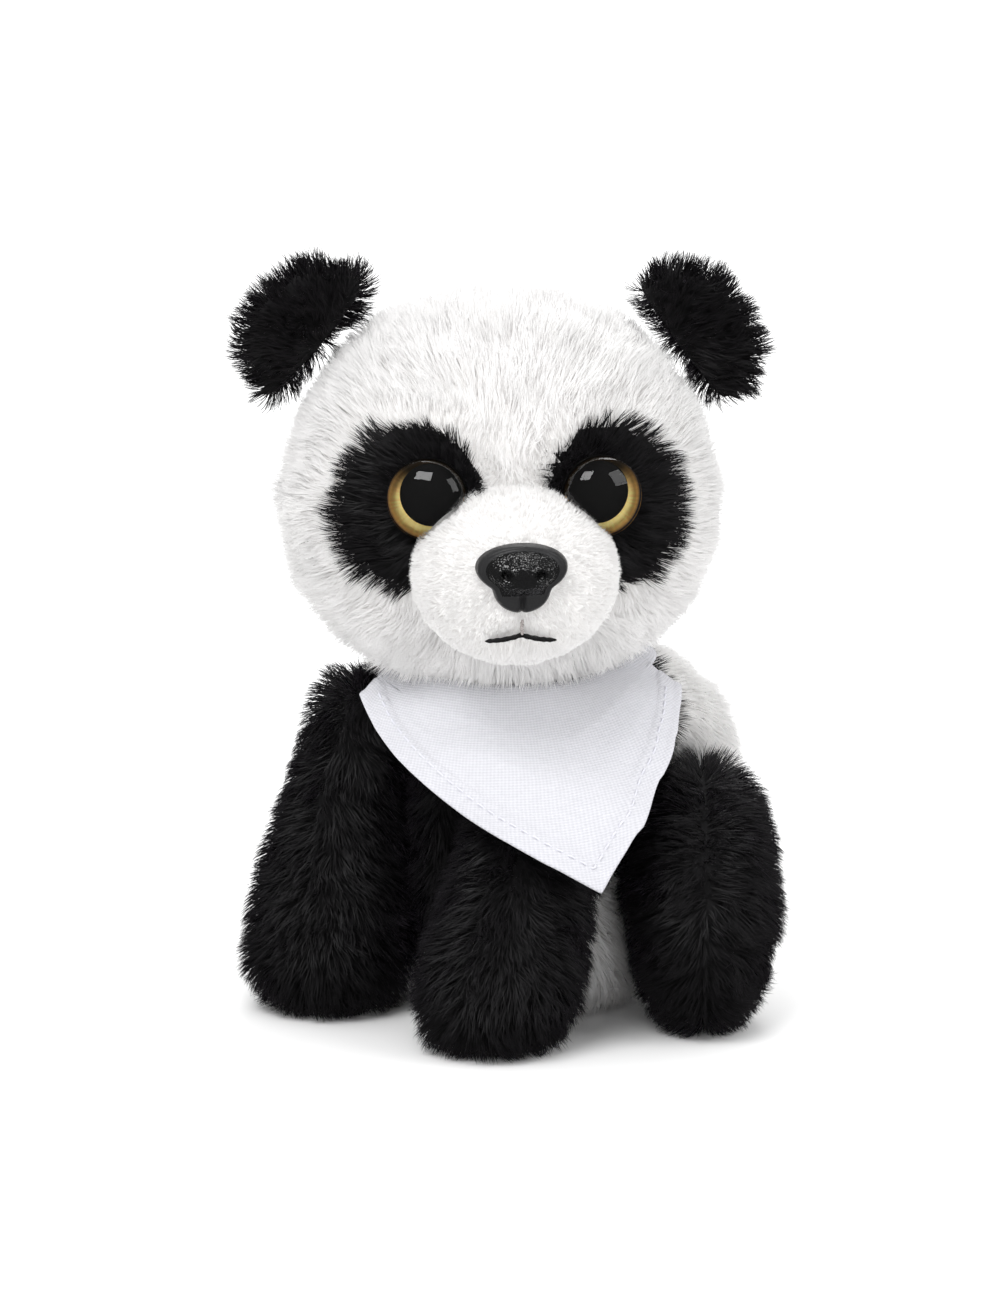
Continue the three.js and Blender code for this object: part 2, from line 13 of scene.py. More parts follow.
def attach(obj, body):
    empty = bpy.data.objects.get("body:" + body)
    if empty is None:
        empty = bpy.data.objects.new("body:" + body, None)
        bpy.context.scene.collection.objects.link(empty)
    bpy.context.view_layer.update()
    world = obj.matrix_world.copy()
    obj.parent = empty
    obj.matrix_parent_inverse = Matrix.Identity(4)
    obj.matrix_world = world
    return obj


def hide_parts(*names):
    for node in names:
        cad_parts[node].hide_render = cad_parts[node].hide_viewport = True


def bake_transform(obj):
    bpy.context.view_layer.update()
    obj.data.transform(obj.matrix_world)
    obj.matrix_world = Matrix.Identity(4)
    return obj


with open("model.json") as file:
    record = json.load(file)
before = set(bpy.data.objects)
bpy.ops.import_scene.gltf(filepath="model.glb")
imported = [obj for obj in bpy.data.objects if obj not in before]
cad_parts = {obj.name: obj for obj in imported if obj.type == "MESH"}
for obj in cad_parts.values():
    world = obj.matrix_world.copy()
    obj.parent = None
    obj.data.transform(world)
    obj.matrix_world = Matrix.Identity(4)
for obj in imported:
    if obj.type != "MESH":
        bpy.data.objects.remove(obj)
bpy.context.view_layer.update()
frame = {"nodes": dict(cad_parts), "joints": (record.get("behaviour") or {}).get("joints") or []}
NODES = frame["nodes"]
JOINTS = {joint["name"]: joint for joint in frame["joints"]}
MM = 0.001
SIDES = (("left", 1), ("right", -1))


# ------------------------------------------------------------------ vectors and places
def unit(vectors):
    return vectors / np.maximum(np.linalg.norm(vectors, axis=-1, keepdims=True), 1e-12)


def vertex_values(mesh, attribute):
    """One vector for each vertex of a mesh: its place ("co") or its normal."""
    flat = np.empty(len(mesh.vertices) * 3)
    mesh.vertices.foreach_get(attribute, flat)
    return flat.reshape(-1, 3)


def corners(*nodes):
    """All vertices of some CAD nodes."""
    return np.concatenate([vertex_values(NODES[node].data, "co") for node in nodes])


def middle_and_half(points):
    """The middle and the half size of the box round some points."""
    low, high = points.min(0), points.max(0)
    return (low + high) / 2, (high - low) / 2


def between(at, places, points):
    """Points at some distances along a line of points, whose own distances are given as places."""
    return np.stack([np.interp(at, places, points[:, k]) for k in range(3)], -1)


class Place:
    """A local frame: an origin and three unit axes in the rows of a matrix."""

    def __init__(self, origin, x, z):
        self.origin = np.array(origin, float)
        x, z = unit(np.array(x, float)), unit(np.array(z, float))
        x = unit(x - z * (x @ z))
        self.axes = np.array([x, np.cross(z, x), z])

    def local(self, points):
        return (points - self.origin) @ self.axes.T

    def world(self, points):
        return np.asarray(points, float) @ self.axes + self.origin

    def turned(self, vectors):
        return np.asarray(vectors, float) @ self.axes


def waves(points, wavelength, seed, count=7):
    """A smooth random vector field of about unit size: sine waves in random directions."""
    rng = np.random.default_rng(seed)
    directions = unit(rng.normal(size=(count, 3))) * (2 * math.pi / wavelength)
    phases = rng.uniform(0, 2 * math.pi, (count, 3))
    return np.sin((points @ directions.T)[:, :, None] + phases).sum(1) / math.sqrt(count / 2)


def smoothstep(low, high, x):
    t = np.clip((x - low) / (high - low), 0, 1)
    return t * t * (3 - 2 * t)


def point_tree(points):
    """A tree that finds the closest of some points."""
    tree = KDTree(len(points))
    for i, point in enumerate(points):
        tree.insert(point, i)
    tree.balance()
    return tree


# ------------------------------------------------------------------ meshes
def link(name, data):
    """A new object in the scene."""
    obj = bpy.data.objects.new(name, data)
    bpy.context.scene.collection.objects.link(obj)
    return obj


def new_object(name, points, faces, smooth=True):
    mesh = bpy.data.meshes.new(name)
    mesh.from_pydata([tuple(p) for p in points], [], [tuple(f) for f in faces])
    if smooth:
        mesh.shade_smooth()
    return link(name, mesh)


def points_of(obj):
    return vertex_values(obj.data, "co")


def normals_of(obj):
    return vertex_values(obj.data, "normal")


def move_points(obj, points):
    obj.data.vertices.foreach_set("co", np.asarray(points, np.float32).ravel())
    obj.data.update()


def surface_tree(*objects):
    """A tree that finds the closest place on some surfaces, or the first one that a ray meets."""
    points, faces = [], []
    for obj in objects:
        start = len(points)
        points += [v.co.copy() for v in obj.data.vertices]
        faces += [[start + i for i in p.vertices] for p in obj.data.polygons]
    return BVHTree.FromPolygons(points, faces)


def tree_of_nodes(*nodes):
    """The same for the surfaces of some CAD nodes."""
    return surface_tree(*(NODES[node] for node in nodes))


def grid_faces(columns, rows):
    """Quads of an open grid of points, (columns + 1, rows + 1)."""
    faces = []
    for i in range(columns):
        for j in range(rows):
            a = i * (rows + 1) + j
            faces.append((a, a + 1, a + rows + 2, a + rows + 1))
    return faces


def ring_faces(rings, around, start=0):
    """Quads between closed rings of points that follow each other."""
    faces = []
    for ring in range(rings - 1):
        first = start + ring * around
        for k in range(around):
            here, after = first + k, first + (k + 1) % around
            faces.append((here, after, after + around, here + around))
    return faces


def fan_faces(first, around, tip):
    """Triangles from a closed ring of points to one tip."""
    return [(first + k, first + (k + 1) % around, tip) for k in range(around)]


def turns_of(around):
    """Even steps round a full turn."""
    return 2 * math.pi * np.arange(around) / around


def rings_round(path, side, up, radius, around):
    """Closed rings of points round a path. The radius is one number, or one for each point."""
    turns = turns_of(around)[None, :, None]
    circles = side[:, None] * np.cos(turns) + up[:, None] * np.sin(turns)
    return (path[:, None] + radius * circles).reshape(-1, 3)


def relax(points, edges, times, factor=0.5):
    """Laplacian smoothing of a mesh's points."""
    points = points.copy()
    a, b = edges[:, 0], edges[:, 1]
    degree = np.bincount(np.concatenate([a, b]), minlength=len(points))[:, None]
    for _ in range(times):
        total = np.zeros_like(points)
        np.add.at(total, a, points[b])
        np.add.at(total, b, points[a])
        points += factor * (total / degree - points)
    return points


def edges_of(obj):
    flat = np.empty(len(obj.data.edges) * 2, np.int64)
    obj.data.edges.foreach_get("vertices", flat)
    return flat.reshape(-1, 2)


def round_ball(level):
    """Points and faces of an even unit ball, which a closed skin is shaped from."""
    ball = bmesh.new()
    bmesh.ops.create_icosphere(ball, subdivisions=level, radius=1)
    points = np.array([v.co for v in ball.verts])
    faces = [[v.index for v in f.verts] for f in ball.faces]
    ball.free()
    return points, faces


def wrapped_skin(name, nodes, inset, smoothing=8, centre=None):
    """A smooth closed skin over CAD covers: a ball of points drawn in onto their outer surface."""
    around = tree_of_nodes(*nodes)
    cloud = corners(*nodes)
    low, high = cloud.min(0), cloud.max(0)
    centre = (low + high) / 2 if centre is None else np.array(centre)
    reach = np.linalg.norm(high - low)
    directions, faces = round_ball(SKIN_LEVEL)
    directions = unit(directions * (high - low))
    points = np.empty_like(directions)
    for i, direction in enumerate(directions):
        hit = around.ray_cast(Vector(centre + direction * reach), Vector(-direction), reach)[0]
        points[i] = centre if hit is None else hit
    skin = new_object(name, points, faces)
    move_points(skin, relax(points, edges_of(skin), smoothing))
    move_points(skin, points_of(skin) - normals_of(skin) * inset)
    return skin


def oval_skin(name, place, centre, half):
    """A smooth oval in a place's frame."""
    points, faces = round_ball(SKIN_LEVEL)
    return new_object(name, place.world(points * half + centre), faces)


# ------------------------------------------------------------------ materials
def feed(tree, node, inputs):
    """Sets a shader node's inputs: another node's socket is linked, and any other value is set."""
    for key, value in inputs.items():
        if isinstance(value, bpy.types.NodeSocket):
            tree.links.new(value, node.inputs[key])
        else:
            node.inputs[key].default_value = value


def add_node(tree, kind, inputs, **settings):
    """A new shader node with its settings and inputs."""
    node = tree.nodes.new(f"ShaderNode{kind}")
    for name, value in settings.items():
        setattr(node, name, value)
    feed(tree, node, inputs)
    return node


def node_material(name):
    """A material, its node tree and the Principled shader in it."""
    material = bpy.data.materials.new(name)
    material.use_nodes = True
    tree = material.node_tree
    return material, tree, tree.nodes["Principled BSDF"]


def map_axes(tree, layer):
    """The two directions of a UV map, as sockets."""
    uv = add_node(tree, "UVMap", {}, uv_map=layer)
    split = add_node(tree, "SeparateXYZ", {0: uv.outputs["UV"]})
    return split.outputs["X"], split.outputs["Y"]


def color_ramp(tree, stops, factor):
    """The colour between (position, colour) stops."""
    ramp = add_node(tree, "ValToRGB", {"Fac": factor})
    elements = ramp.color_ramp.elements
    while len(elements) < len(stops):
        elements.new(0.5)
    for element, (position, color) in zip(elements, stops):
        element.position = position
        element.color = (*color, 1)
    return ramp.outputs["Color"]


def math_node(tree, operation, *values):
    """The result of a sum on numbers or sockets."""
    return add_node(tree, "Math", dict(enumerate(values)), operation=operation).outputs[0]


def toned(tree, color, tone):
    """A colour made lighter or darker by a tone socket."""
    return add_node(tree, "VectorMath", {0: color, "Scale": tone}, operation="SCALE").outputs["Vector"]


def show(tree, share, first, second):
    """Makes a mix of two shaders the material's surface."""
    mix = add_node(tree, "MixShader", {"Fac": share, 1: first.outputs[0], 2: second.outputs[0]})
    feed(tree, tree.nodes["Material Output"], {"Surface": mix.outputs[0]})


def relief(tree, shader, height, strength, distance, invert=False):
    """Bump from a height socket."""
    bump = add_node(tree, "Bump", {"Height": height, "Strength": strength, "Distance": distance},
                    invert=invert)
    feed(tree, shader, {"Normal": bump.outputs["Normal"]})


def fur_material(name, colors, tones, roughness, sheen, sheen_tint, translucent=0.0):
    """Pile: the colour runs from root to tip along V, and each strand has its own tone along U."""
    material, tree, shader = node_material(name)
    strand, height = map_axes(tree, "OFBake")
    along = color_ramp(tree, list(zip((0.0, 0.45, 1.0), colors)), height)
    tone = add_node(tree, "MapRange", {"Value": strand, "To Min": tones[0], "To Max": tones[1]})
    color = toned(tree, along, tone.outputs["Result"])
    feed(tree, shader, {"Base Color": color, "Roughness": roughness, "Sheen Weight": sheen,
                        "Sheen Tint": (*sheen_tint, 1), "Specular IOR Level": 0.25})
    if translucent:
        show(tree, translucent, shader, add_node(tree, "BsdfTranslucent", {"Color": color}))
    return material


def plain_material(name, color, roughness, scale=900, strength=0.5, specular=0.5):
    """One colour with a fine relief in the object's own space."""
    material, tree, shader = node_material(name)
    feed(tree, shader, {"Base Color": (*color, 1), "Roughness": roughness, "Specular IOR Level": specular})
    place = add_node(tree, "TexCoord", {}).outputs["Object"]
    noise = add_node(tree, "TexNoise", {"Vector": place, "Scale": scale})
    relief(tree, shader, noise.outputs["Fac"], strength, 0.3 * MM)
    return material


WHITE_FUR = fur_material("white_fur", [(0.90, 0.885, 0.875), (0.955, 0.95, 0.945), (0.975, 0.97, 0.965)],
                         (0.97, 1.0), 0.8, 0.1, (1, 1, 1), translucent=0.42)
BLACK_FUR = fur_material("black_fur", [(0.0015, 0.0014, 0.0016), (0.0040, 0.0036, 0.0042),
                                       (0.0085, 0.0075, 0.0090)],
                         (0.5, 1.4), 0.5, 0.06, (0.75, 0.65, 0.8))
WHITE_BACKING = plain_material("white_backing", (0.8, 0.79, 0.78), 0.9)
BLACK_BACKING = plain_material("black_backing", (0.005, 0.0045, 0.0055), 0.9)
WASHER = plain_material("washer_plastic", (0.75, 0.75, 0.73), 0.5)


# ------------------------------------------------------------------ pieces in the model
def fit(piece, body, slot, *nodes, material=None):
    """Joins a finished piece to the model: its body, its material if one is given, and the CAD nodes it
    stands for. The slot is not used.
    """
    if material is not None:
        piece.data.materials.append(material)
    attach(piece, body)
    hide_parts(*nodes)


def finish_node(node, material):
    """A material for a CAD node that stays."""
    NODES[node].data.materials.clear()
    NODES[node].data.materials.append(material)


# ------------------------------------------------------------------ fur
RINGS = np.array([0.0, 0.34, 0.68])  # where a strand has a pair of points; its tip is one more
RING_WIDTHS = np.array([1.0, 0.9, 0.6])
TONES = 64  # columns of the strand colour layout
CLUMP_SIZE = 16  # strands that lean together


def scatter(skin, per_mm2, rng):
    """Random roots over a skin: points and normals."""
    mesh = skin.data
    mesh.calc_loop_triangles()
    count = len(mesh.loop_triangles)
    triangles = np.empty(count * 3, np.int64)
    mesh.loop_triangles.foreach_get("vertices", triangles)
    triangles = triangles.reshape(-1, 3)
    points, normals = points_of(skin), normals_of(skin)
    a, b, c = (points[triangles[:, k]] for k in range(3))
    areas = np.linalg.norm(np.cross(b - a, c - a), axis=1) / 2
    total = int(areas.sum() / MM**2 * per_mm2)
    chosen = rng.choice(count, total, p=areas / areas.sum())
    u, v = rng.random((2, total))
    over = u + v > 1
    u[over], v[over] = 1 - u[over], 1 - v[over]
    weights = np.stack([1 - u - v, u, v], 1)[:, :, None]
    roots = (points[triangles[chosen]] * weights).sum(1)
    return roots, unit((normals[triangles[chosen]] * weights).sum(1))


def grow(roots, normals, lay, length, lean_root, lean_tip):
    """Points along each strand, (strands, rings + tip, 3), bending from its root towards lay."""
    steps = np.append(RINGS, 1.0)
    path = [roots]
    for low, high in zip(steps[:-1], steps[1:]):
        lean = (lean_root + (lean_tip - lean_root) * (low + high) / 2)[:, None]
        direction = normals * np.cos(lean) + lay * np.sin(lean)
        path.append(path[-1] + direction * (length * (high - low))[:, None])
    return np.stack(path, 1)


def along_surface(vectors, normals):
    return unit(vectors - normals * (vectors * normals).sum(1)[:, None])


def strands(roots, normals, lay, kind, rng, seed, scale=1.0):
    """Full strand paths with clumps, tufts and stray fibres."""
    count = len(roots)
    swirl = waves(roots, kind["tuft"], seed) * 0.5 + waves(roots, kind["tuft"] / 2.6, seed + 1) * 0.4
    lay = along_surface(unit(lay) + swirl * kind["swirl"], normals)
    lift = waves(roots, kind["tuft"] * 0.8, seed + 2)[:, 0]
    length = scale * kind["length"] * MM * (1 + 0.10 * lift) * rng.uniform(0.8, 1.1, count)
    lean_root = np.radians(kind["lean"][0]) + 0.12 * lift
    lean_tip = np.radians(kind["lean"][1]) + 0.2 * waves(roots, kind["tuft"], seed + 3)[:, 1]
    own_lay = along_surface(lay + rng.normal(0, 0.25, (count, 3)), normals)
    own = grow(roots, normals, own_lay, length, lean_root + rng.normal(0, 0.12, count),
               lean_tip + rng.normal(0, 0.2, count))

    guides = rng.choice(count, max(1, count // CLUMP_SIZE), replace=False)
    tree = point_tree(roots[guides])
    nearest = np.array([tree.find(p)[1] for p in roots])
    guide_lay = along_surface(lay[guides] + rng.normal(0, 0.3, (len(guides), 3)), normals[guides])
    guide_path = grow(roots[guides], normals[guides], guide_lay,
                      length[guides] * rng.uniform(0.95, 1.12, len(guides)),
                      lean_root[guides], lean_tip[guides] + rng.normal(0, 0.18, len(guides)))
    steps = np.append(RINGS, 1.0)
    pull = kind["clump"] * steps**1.3
    pull = pull[None, :, None] * rng.uniform(0.55, 1.0, count)[:, None, None]
    spread = rng.normal(0, kind["length"] * MM * 0.05, (count, 1, 3)) * steps[None, :, None]
    return own * (1 - pull) + (guide_path[nearest] + spread) * pull


def fur_object(name, paths, normals, kind, rng):
    """One mesh of tapering ribbons with the strand colour layout. Each is shaded partly as its skin is."""
    count = len(paths)
    along = unit(np.diff(paths, axis=1))
    side = unit(np.cross(along[:, 0], normals))
    twist = rng.uniform(-1.1, 1.1, count)[:, None]
    up = np.cross(side, along[:, 0])
    side = side * np.cos(twist) + up * np.sin(twist)
    half = side[:, None, :] * (RING_WIDTHS[None, :, None] * rng.uniform(0.7, 1.2, count)[:, None, None])
    half = half * (kind["width"] * MM / 2)
    rings = paths[:, :-1]
    pairs = np.stack([rings - half, rings + half], 2).reshape(count, -1, 3)
    points = np.concatenate([pairs, paths[:, -1:]], 1)
    per = points.shape[1]
    quads = [[2 * k, 2 * k + 1, 2 * k + 3, 2 * k + 2] for k in range(len(RINGS) - 1)]
    corners_in_strand = np.array([i for q in quads for i in q] + [per - 3, per - 2, per - 1])
    loops = (corners_in_strand[None] + per * np.arange(count)[:, None]).ravel()
    sizes = np.tile([4] * len(quads) + [3], count)
    starts = np.concatenate([[0], np.cumsum(sizes)[:-1]])

    mesh = bpy.data.meshes.new(name)
    mesh.vertices.add(count * per)
    mesh.vertices.foreach_set("co", points.astype(np.float32).ravel())
    mesh.loops.add(len(loops))
    mesh.loops.foreach_set("vertex_index", loops.astype(np.int32))
    mesh.polygons.add(len(sizes))
    mesh.polygons.foreach_set("loop_start", starts.astype(np.int32))
    mesh.update()
    height = np.append(np.repeat(RINGS, 2), 1.0)
    across = np.append(np.tile([0.15, 0.85], len(RINGS)), 0.5)
    column = rng.integers(0, TONES, count)[:, None]
    u = (column + across[corners_in_strand][None]) / TONES
    v = np.tile(0.02 + 0.96 * height[corners_in_strand], (count, 1))
    layer = mesh.uv_layers.new(name="OFBake")
    layer.uv.foreach_set("vector", np.stack([u, v], -1).astype(np.float32).ravel())
    mesh.shade_smooth()
    shading = unit(normals * kind["soft"] + np.cross(side, along[:, 0]) * (1 - kind["soft"]))
    mesh.normals_split_custom_set_from_vertices(np.repeat(shading, per, 0))
    return link(name, mesh)


KINDS = {
    "white": {"length": 6.2, "lean": (18, 62), "tuft": 12 * MM, "swirl": 0.35, "clump": 0.22,
              "per_mm2": 5.4, "width": 0.19, "soft": 0.9},
    "patch": {"length": 5.6, "lean": (16, 58), "tuft": 9 * MM, "swirl": 0.5, "clump": 0.4,
              "per_mm2": 5.4, "width": 0.2, "soft": 0.6},
    "black": {"length": 5.6, "lean": (18, 58), "tuft": 11 * MM, "swirl": 0.45, "clump": 0.36,
              "per_mm2": 4.4, "width": 0.21, "soft": 0.55},
    "ear": {"length": 5.6, "lean": (15, 56), "tuft": 8 * MM, "swirl": 0.45, "clump": 0.42,
            "per_mm2": 5.6, "width": 0.2, "soft": 0.55},
    "muzzle": {"length": 1.7, "lean": (30, 68), "tuft": 5 * MM, "swirl": 0.3, "clump": 0.15,
               "per_mm2": 11.0, "width": 0.15, "soft": 0.9},
}
INSET = 2.5 * MM  # how far under a cover's outside its backing lies, below loose pile
SEAM_REACH = 4 * MM  # how far from a black and white seam the pile is combed by it
FLOOR_CLEARANCE = 0.2 * MM
SKIN_LEVEL = 5  # how often a skin's ball is divided


# ------------------------------------------------------------------ the head's frame
HEAD_COVERS = ["face_cover_left", "face_cover_right", "head_back_cover_left", "head_back_cover_right"]
head = Place(JOINTS["head_nod"]["pos_m"], JOINTS["head_nod"]["axis"], (0, 0, 1))
head_middle, HEAD_HALF = middle_and_half(head.local(corners(*HEAD_COVERS)))
head.origin = head.world(head_middle)
MUZZLE_CENTRE, MUZZLE_HALF = middle_and_half(head.local(corners("muzzle_cover")))
MUZZLE_FRONT = MUZZLE_CENTRE[1] - MUZZLE_HALF[1]
MUZZLE_HALF[1] = MUZZLE_HALF[0] * 0.85  # an oval that is a little less deep than wide
MUZZLE_CENTRE[1] = MUZZLE_FRONT + MUZZLE_HALF[1]
nose_cloud = head.local(corners("nose"))
NOSE_FRONT = np.array([0, nose_cloud.min(0)[1], nose_cloud.mean(0)[2]])


def eye_place(word):
    """The eye's frame, with its origin on the iris, Z out of the face and X along it, and its radius."""
    lens, base, iris = (corners(f"eye_{word}_{part}") for part in ("lens", "base", "iris"))
    outward = np.linalg.svd(iris - iris.mean(0))[2][2]
    outward = outward * np.sign(outward @ (lens.mean(0) - base.mean(0)))
    place = Place(iris.mean(0), head.axes[0], outward)
    place.origin = place.world([0, 0, place.local(iris)[:, 2].max()])
    return place, np.ptp(place.local(lens)[:, 0]) / 2


EYES = {word: eye_place(word) for word, _ in SIDES}


# ------------------------------------------------------------------ which way the pile lies
def head_lay(roots, normals):
    """Away from the muzzle over the face, and down the back of the head."""
    local = head.local(roots)
    source = np.array([0, -1.2 * HEAD_HALF[1], -0.15 * HEAD_HALF[2]])
    away = unit(local - source)
    behind = smoothstep(0.0, 0.9, local[:, 1] / HEAD_HALF[1])[:, None]
    lay = head.turned(away * (1 - behind) + np.array([0, 0, -1.0]) * behind)
    for place, radius in EYES.values():
        offset = roots - place.origin
        distance = np.linalg.norm(offset, axis=1)
        near = 1 - smoothstep(radius * 1.1, radius * 1.9, distance)
        lay = lay * (1 - 0.8 * near[:, None]) + unit(offset) * 0.8 * near[:, None]
    return lay


def muzzle_lay(roots, normals):
    """Away from the nose, and a little down."""
    local = head.local(roots) - NOSE_FRONT
    return head.turned(local + np.array([0, 0, -2 * MM]))


def down_lay(roots, normals):
    """Down, and a little outwards."""
    return np.array([0, 0, -1.0]) + normals * np.array([0.4, 0.4, 0.0])


def seam_lay(point, across, parting):
    """Down, and away from both sides of a seam plane."""
    point, across = np.array(point), unit(np.array(across))

    def lay(roots, normals):
        side = np.sign((roots - point) @ across)[:, None]
        return np.array([0, 0, -1.0]) + side * across * parting + normals * np.array([0.3, 0.3, 0])
    return lay


def ear_lay(word):
    """From the ear's root to its edge."""
    root = np.array(JOINTS[f"ear_{word}_fold"]["pos_m"])
    outwards = unit(corners(f"ear_{word}_front").mean(0) - root)

    def lay(roots, normals):
        return unit(roots - root + outwards * 8 * MM)
    return lay


# ------------------------------------------------------------------ pile on a skin
def nearest_node(roots, nodes):
    """Index of the closest CAD node to each root."""
    distances = np.empty((len(nodes), len(roots)))
    for k, node in enumerate(nodes):
        tree = tree_of_nodes(node)
        distances[k] = [tree.find_nearest(p)[3] for p in roots.tolist()]
    return distances.argmin(0)


def buried(roots, other, depth):
    """Which roots lie deeper than this inside another skin."""
    tree = surface_tree(other)
    result = np.zeros(len(roots), bool)
    for i, p in enumerate(roots):
        place, normal, _, distance = tree.find_nearest(p)
        if distance > depth and (Vector(p) - place).dot(normal) < 0:
            result[i] = True
    return result


def press_under(paths, cloth):
    """Keeps strands that start close behind a cloth from coming through it."""
    tree = surface_tree(cloth)
    reach, clearance, beside = 14 * MM, 0.5 * MM, 0.3 * MM
    for path in paths:
        place, normal, _, _ = tree.find_nearest(path[0], reach)
        if place is None or (Vector(path[0]) - place).dot(normal) > 0:
            continue
        for k in range(1, len(path)):
            point = Vector(path[k])
            place, normal, _, _ = tree.find_nearest(point)
            height = (point - place).dot(normal)
            sideways = (point - place - normal * height).length
            if height > -clearance and sideways < beside:
                path[k] = point - normal * (height + clearance)


def clear_of_eyes(paths):
    """Parts the pile round the eyes. It hangs over the top of each dome and far over its inner side."""
    for word, side in SIDES:
        place, radius = EYES[word]
        local = place.local(paths.reshape(-1, 3))
        flat = np.maximum(np.linalg.norm(local[:, :2], axis=1), 0.2 * MM)
        up, inwards = np.maximum(local[:, 1], 0) / flat, np.maximum(-side * local[:, 0], 0) / flat
        room = radius * (0.93 - 0.14 * up - 0.42 * inwards**2)
        close = (flat < room) & (local[:, 2] > -4 * MM)
        local[close, :2] *= (room[close] / flat[close])[:, None]
        paths[:] = place.world(local).reshape(paths.shape)


def away_from(roots, nodes):
    """Unit vectors from the closest point of some CAD nodes, and a weight that is 1 beside them."""
    tree = tree_of_nodes(*nodes)
    offset = np.array([Vector(p) - tree.find_nearest(p)[0] for p in roots.tolist()])
    distance = np.linalg.norm(offset, axis=1)
    return unit(offset), 1 - smoothstep(INSET, INSET + SEAM_REACH, distance)


def part_at_seams(roots, normals, zone, panels, lay):
    """Where black meets white, the white pile is shorter and combed away and the black lies over it."""
    scale = np.ones(len(roots))
    black = [node for node, (_, pile) in panels.items() if pile is BLACK_FUR]
    white = [node for node in panels if node not in black]
    if not black or not white:
        return lay, scale
    is_black = np.isin(zone, [k for k, node in enumerate(panels) if node in black])
    lay = unit(lay)
    for mine, others, push in ((~is_black, black, 2.0), (is_black, white, -0.5)):
        away, near = away_from(roots[mine], others)
        lay[mine] += along_surface(away, normals[mine]) * near[:, None] * push
    scale[~is_black] -= 0.3 * away_from(roots[~is_black], black)[1]
    return lay, scale


def coat(skin, body, panels, lay, seed, keep=None, adjust=None):
    """Pile on a skin: one piece of fur per CAD panel, each {node: (kind, material)}."""
    rng = np.random.default_rng(seed)
    nodes = list(panels)
    densest = max(KINDS[kind]["per_mm2"] for kind, _ in panels.values())
    roots, normals = scatter(skin, densest, rng)
    if keep is not None:
        kept = keep(roots)
        roots, normals = roots[kept], normals[kept]
    zone = nearest_node(roots, nodes)
    directions, scale = part_at_seams(roots, normals, zone, panels, lay(roots, normals) + 0 * roots)
    for k, node in enumerate(nodes):
        kind, material = panels[node]
        kind = KINDS[kind]
        mine = (zone == k) & (rng.random(len(roots)) < kind["per_mm2"] / densest)
        paths = strands(roots[mine], normals[mine], directions[mine], kind, rng, seed + 10, scale[mine])
        if adjust is not None:
            adjust(paths)
        paths[:, :, 2] = np.maximum(paths[:, :, 2], FLOOR_CLEARANCE)
        slot = "white_plush" if material is WHITE_FUR else "black_plush"
        fit(fur_object(f"{node}_fur", paths, normals[mine], kind, rng), body, slot, node, material=material)


def finish_skin(skin, body, panels, slot, *inside):
    """The knitted backing, black or white as the pile of the closest panel is."""
    backings = [BLACK_BACKING if pile is BLACK_FUR else WHITE_BACKING for _, pile in panels.values()]
    materials = list(dict.fromkeys(backings))
    for material in materials:
        skin.data.materials.append(material)
    if len(materials) > 1:
        centres = np.array([p.center for p in skin.data.polygons])
        of_panel = np.array([materials.index(material) for material in backings])
        index = of_panel[nearest_node(centres, list(panels))]
        skin.data.polygons.foreach_set("material_index", index.astype(np.int32))
    fit(skin, body, slot, *inside)


def clothe(skin, body, panels, lay, seed, slot, *inside, keep=None, adjust=None):
    """Pile and backing on one skin. The backing also stands for the CAD nodes inside it."""
    coat(skin, body, panels, lay, seed, keep, adjust)
    finish_skin(skin, body, panels, slot, *inside)


# ------------------------------------------------------------------ skins
head_skin = wrapped_skin("head_backing", HEAD_COVERS + ["eye_patch_left", "eye_patch_right", "head_stuffing"],
                         INSET, centre=head.origin)
muzzle_skin = oval_skin("muzzle_backing", head, MUZZLE_CENTRE, MUZZLE_HALF - 0.5 * MM)
TORSO_COVERS = ["chest_yoke_cover", "back_cover_left", "back_cover_right", "seat_panel"]
torso_skin = wrapped_skin("torso_backing", TORSO_COVERS + ["torso_stuffing"], INSET)
tail_skin = wrapped_skin("tail_backing", ["tail_upper_cover", "tail_lower_cover"], INSET)
neck_skin = wrapped_skin("neck_backing", ["neck_stuffing"], 0, smoothing=2)
leg_skins = {}
for word, _ in SIDES:
    for limb in ("front_leg", "hind_leg"):
        leg = f"{limb}_{word}"
        parts = [f"{leg}_{part}" for part in ("outer_cover", "inner_cover", "stuffing")]
        leg_skins[leg] = wrapped_skin(f"{leg}_backing", parts, INSET)
ear_skins = {word: wrapped_skin(f"ear_{word}_backing", [f"ear_{word}_front", f"ear_{word}_back"], 1.0 * MM)
             for word, _ in SIDES}


def fuller_chin(skin):
    """Loose cheeks and chin that hang below the stuffed head, over the bandana's top edge."""
    local = head.local(points_of(skin))
    level = -local[:, 2] / HEAD_HALF[2]
    in_front = smoothstep(0.4, -0.4, local[:, 1] / HEAD_HALF[1])
    local[:, 2] *= 1 + (0.15 + 0.05 * in_front) * smoothstep(0, 0.9, level)
    local[:, :2] *= 1 + 0.04 * smoothstep(-0.6, 0.2, level)[:, None]
    move_points(skin, head.world(local))


def fuller_back(skin):
    """The pile stands up between the shoulders."""
    rise_start, rise_end, fall_start, fall_end = (height * MM for height in (36, 56, 66, 78))
    points = points_of(skin)
    high = smoothstep(rise_start, rise_end, points[:, 2]) * smoothstep(fall_end, fall_start, points[:, 2])
    behind = smoothstep(-5 * MM, 15 * MM, points[:, 1])
    move_points(skin, points + normals_of(skin) * (2.2 * MM * high * behind)[:, None])


fuller_chin(head_skin)
fuller_back(torso_skin)

# ------------------------------------------------------------------ the bandana
bandana_axis = np.array(JOINTS["head_turn"]["pos_m"])
COLUMNS, ROWS = 110, 56  # of the bandana's grid


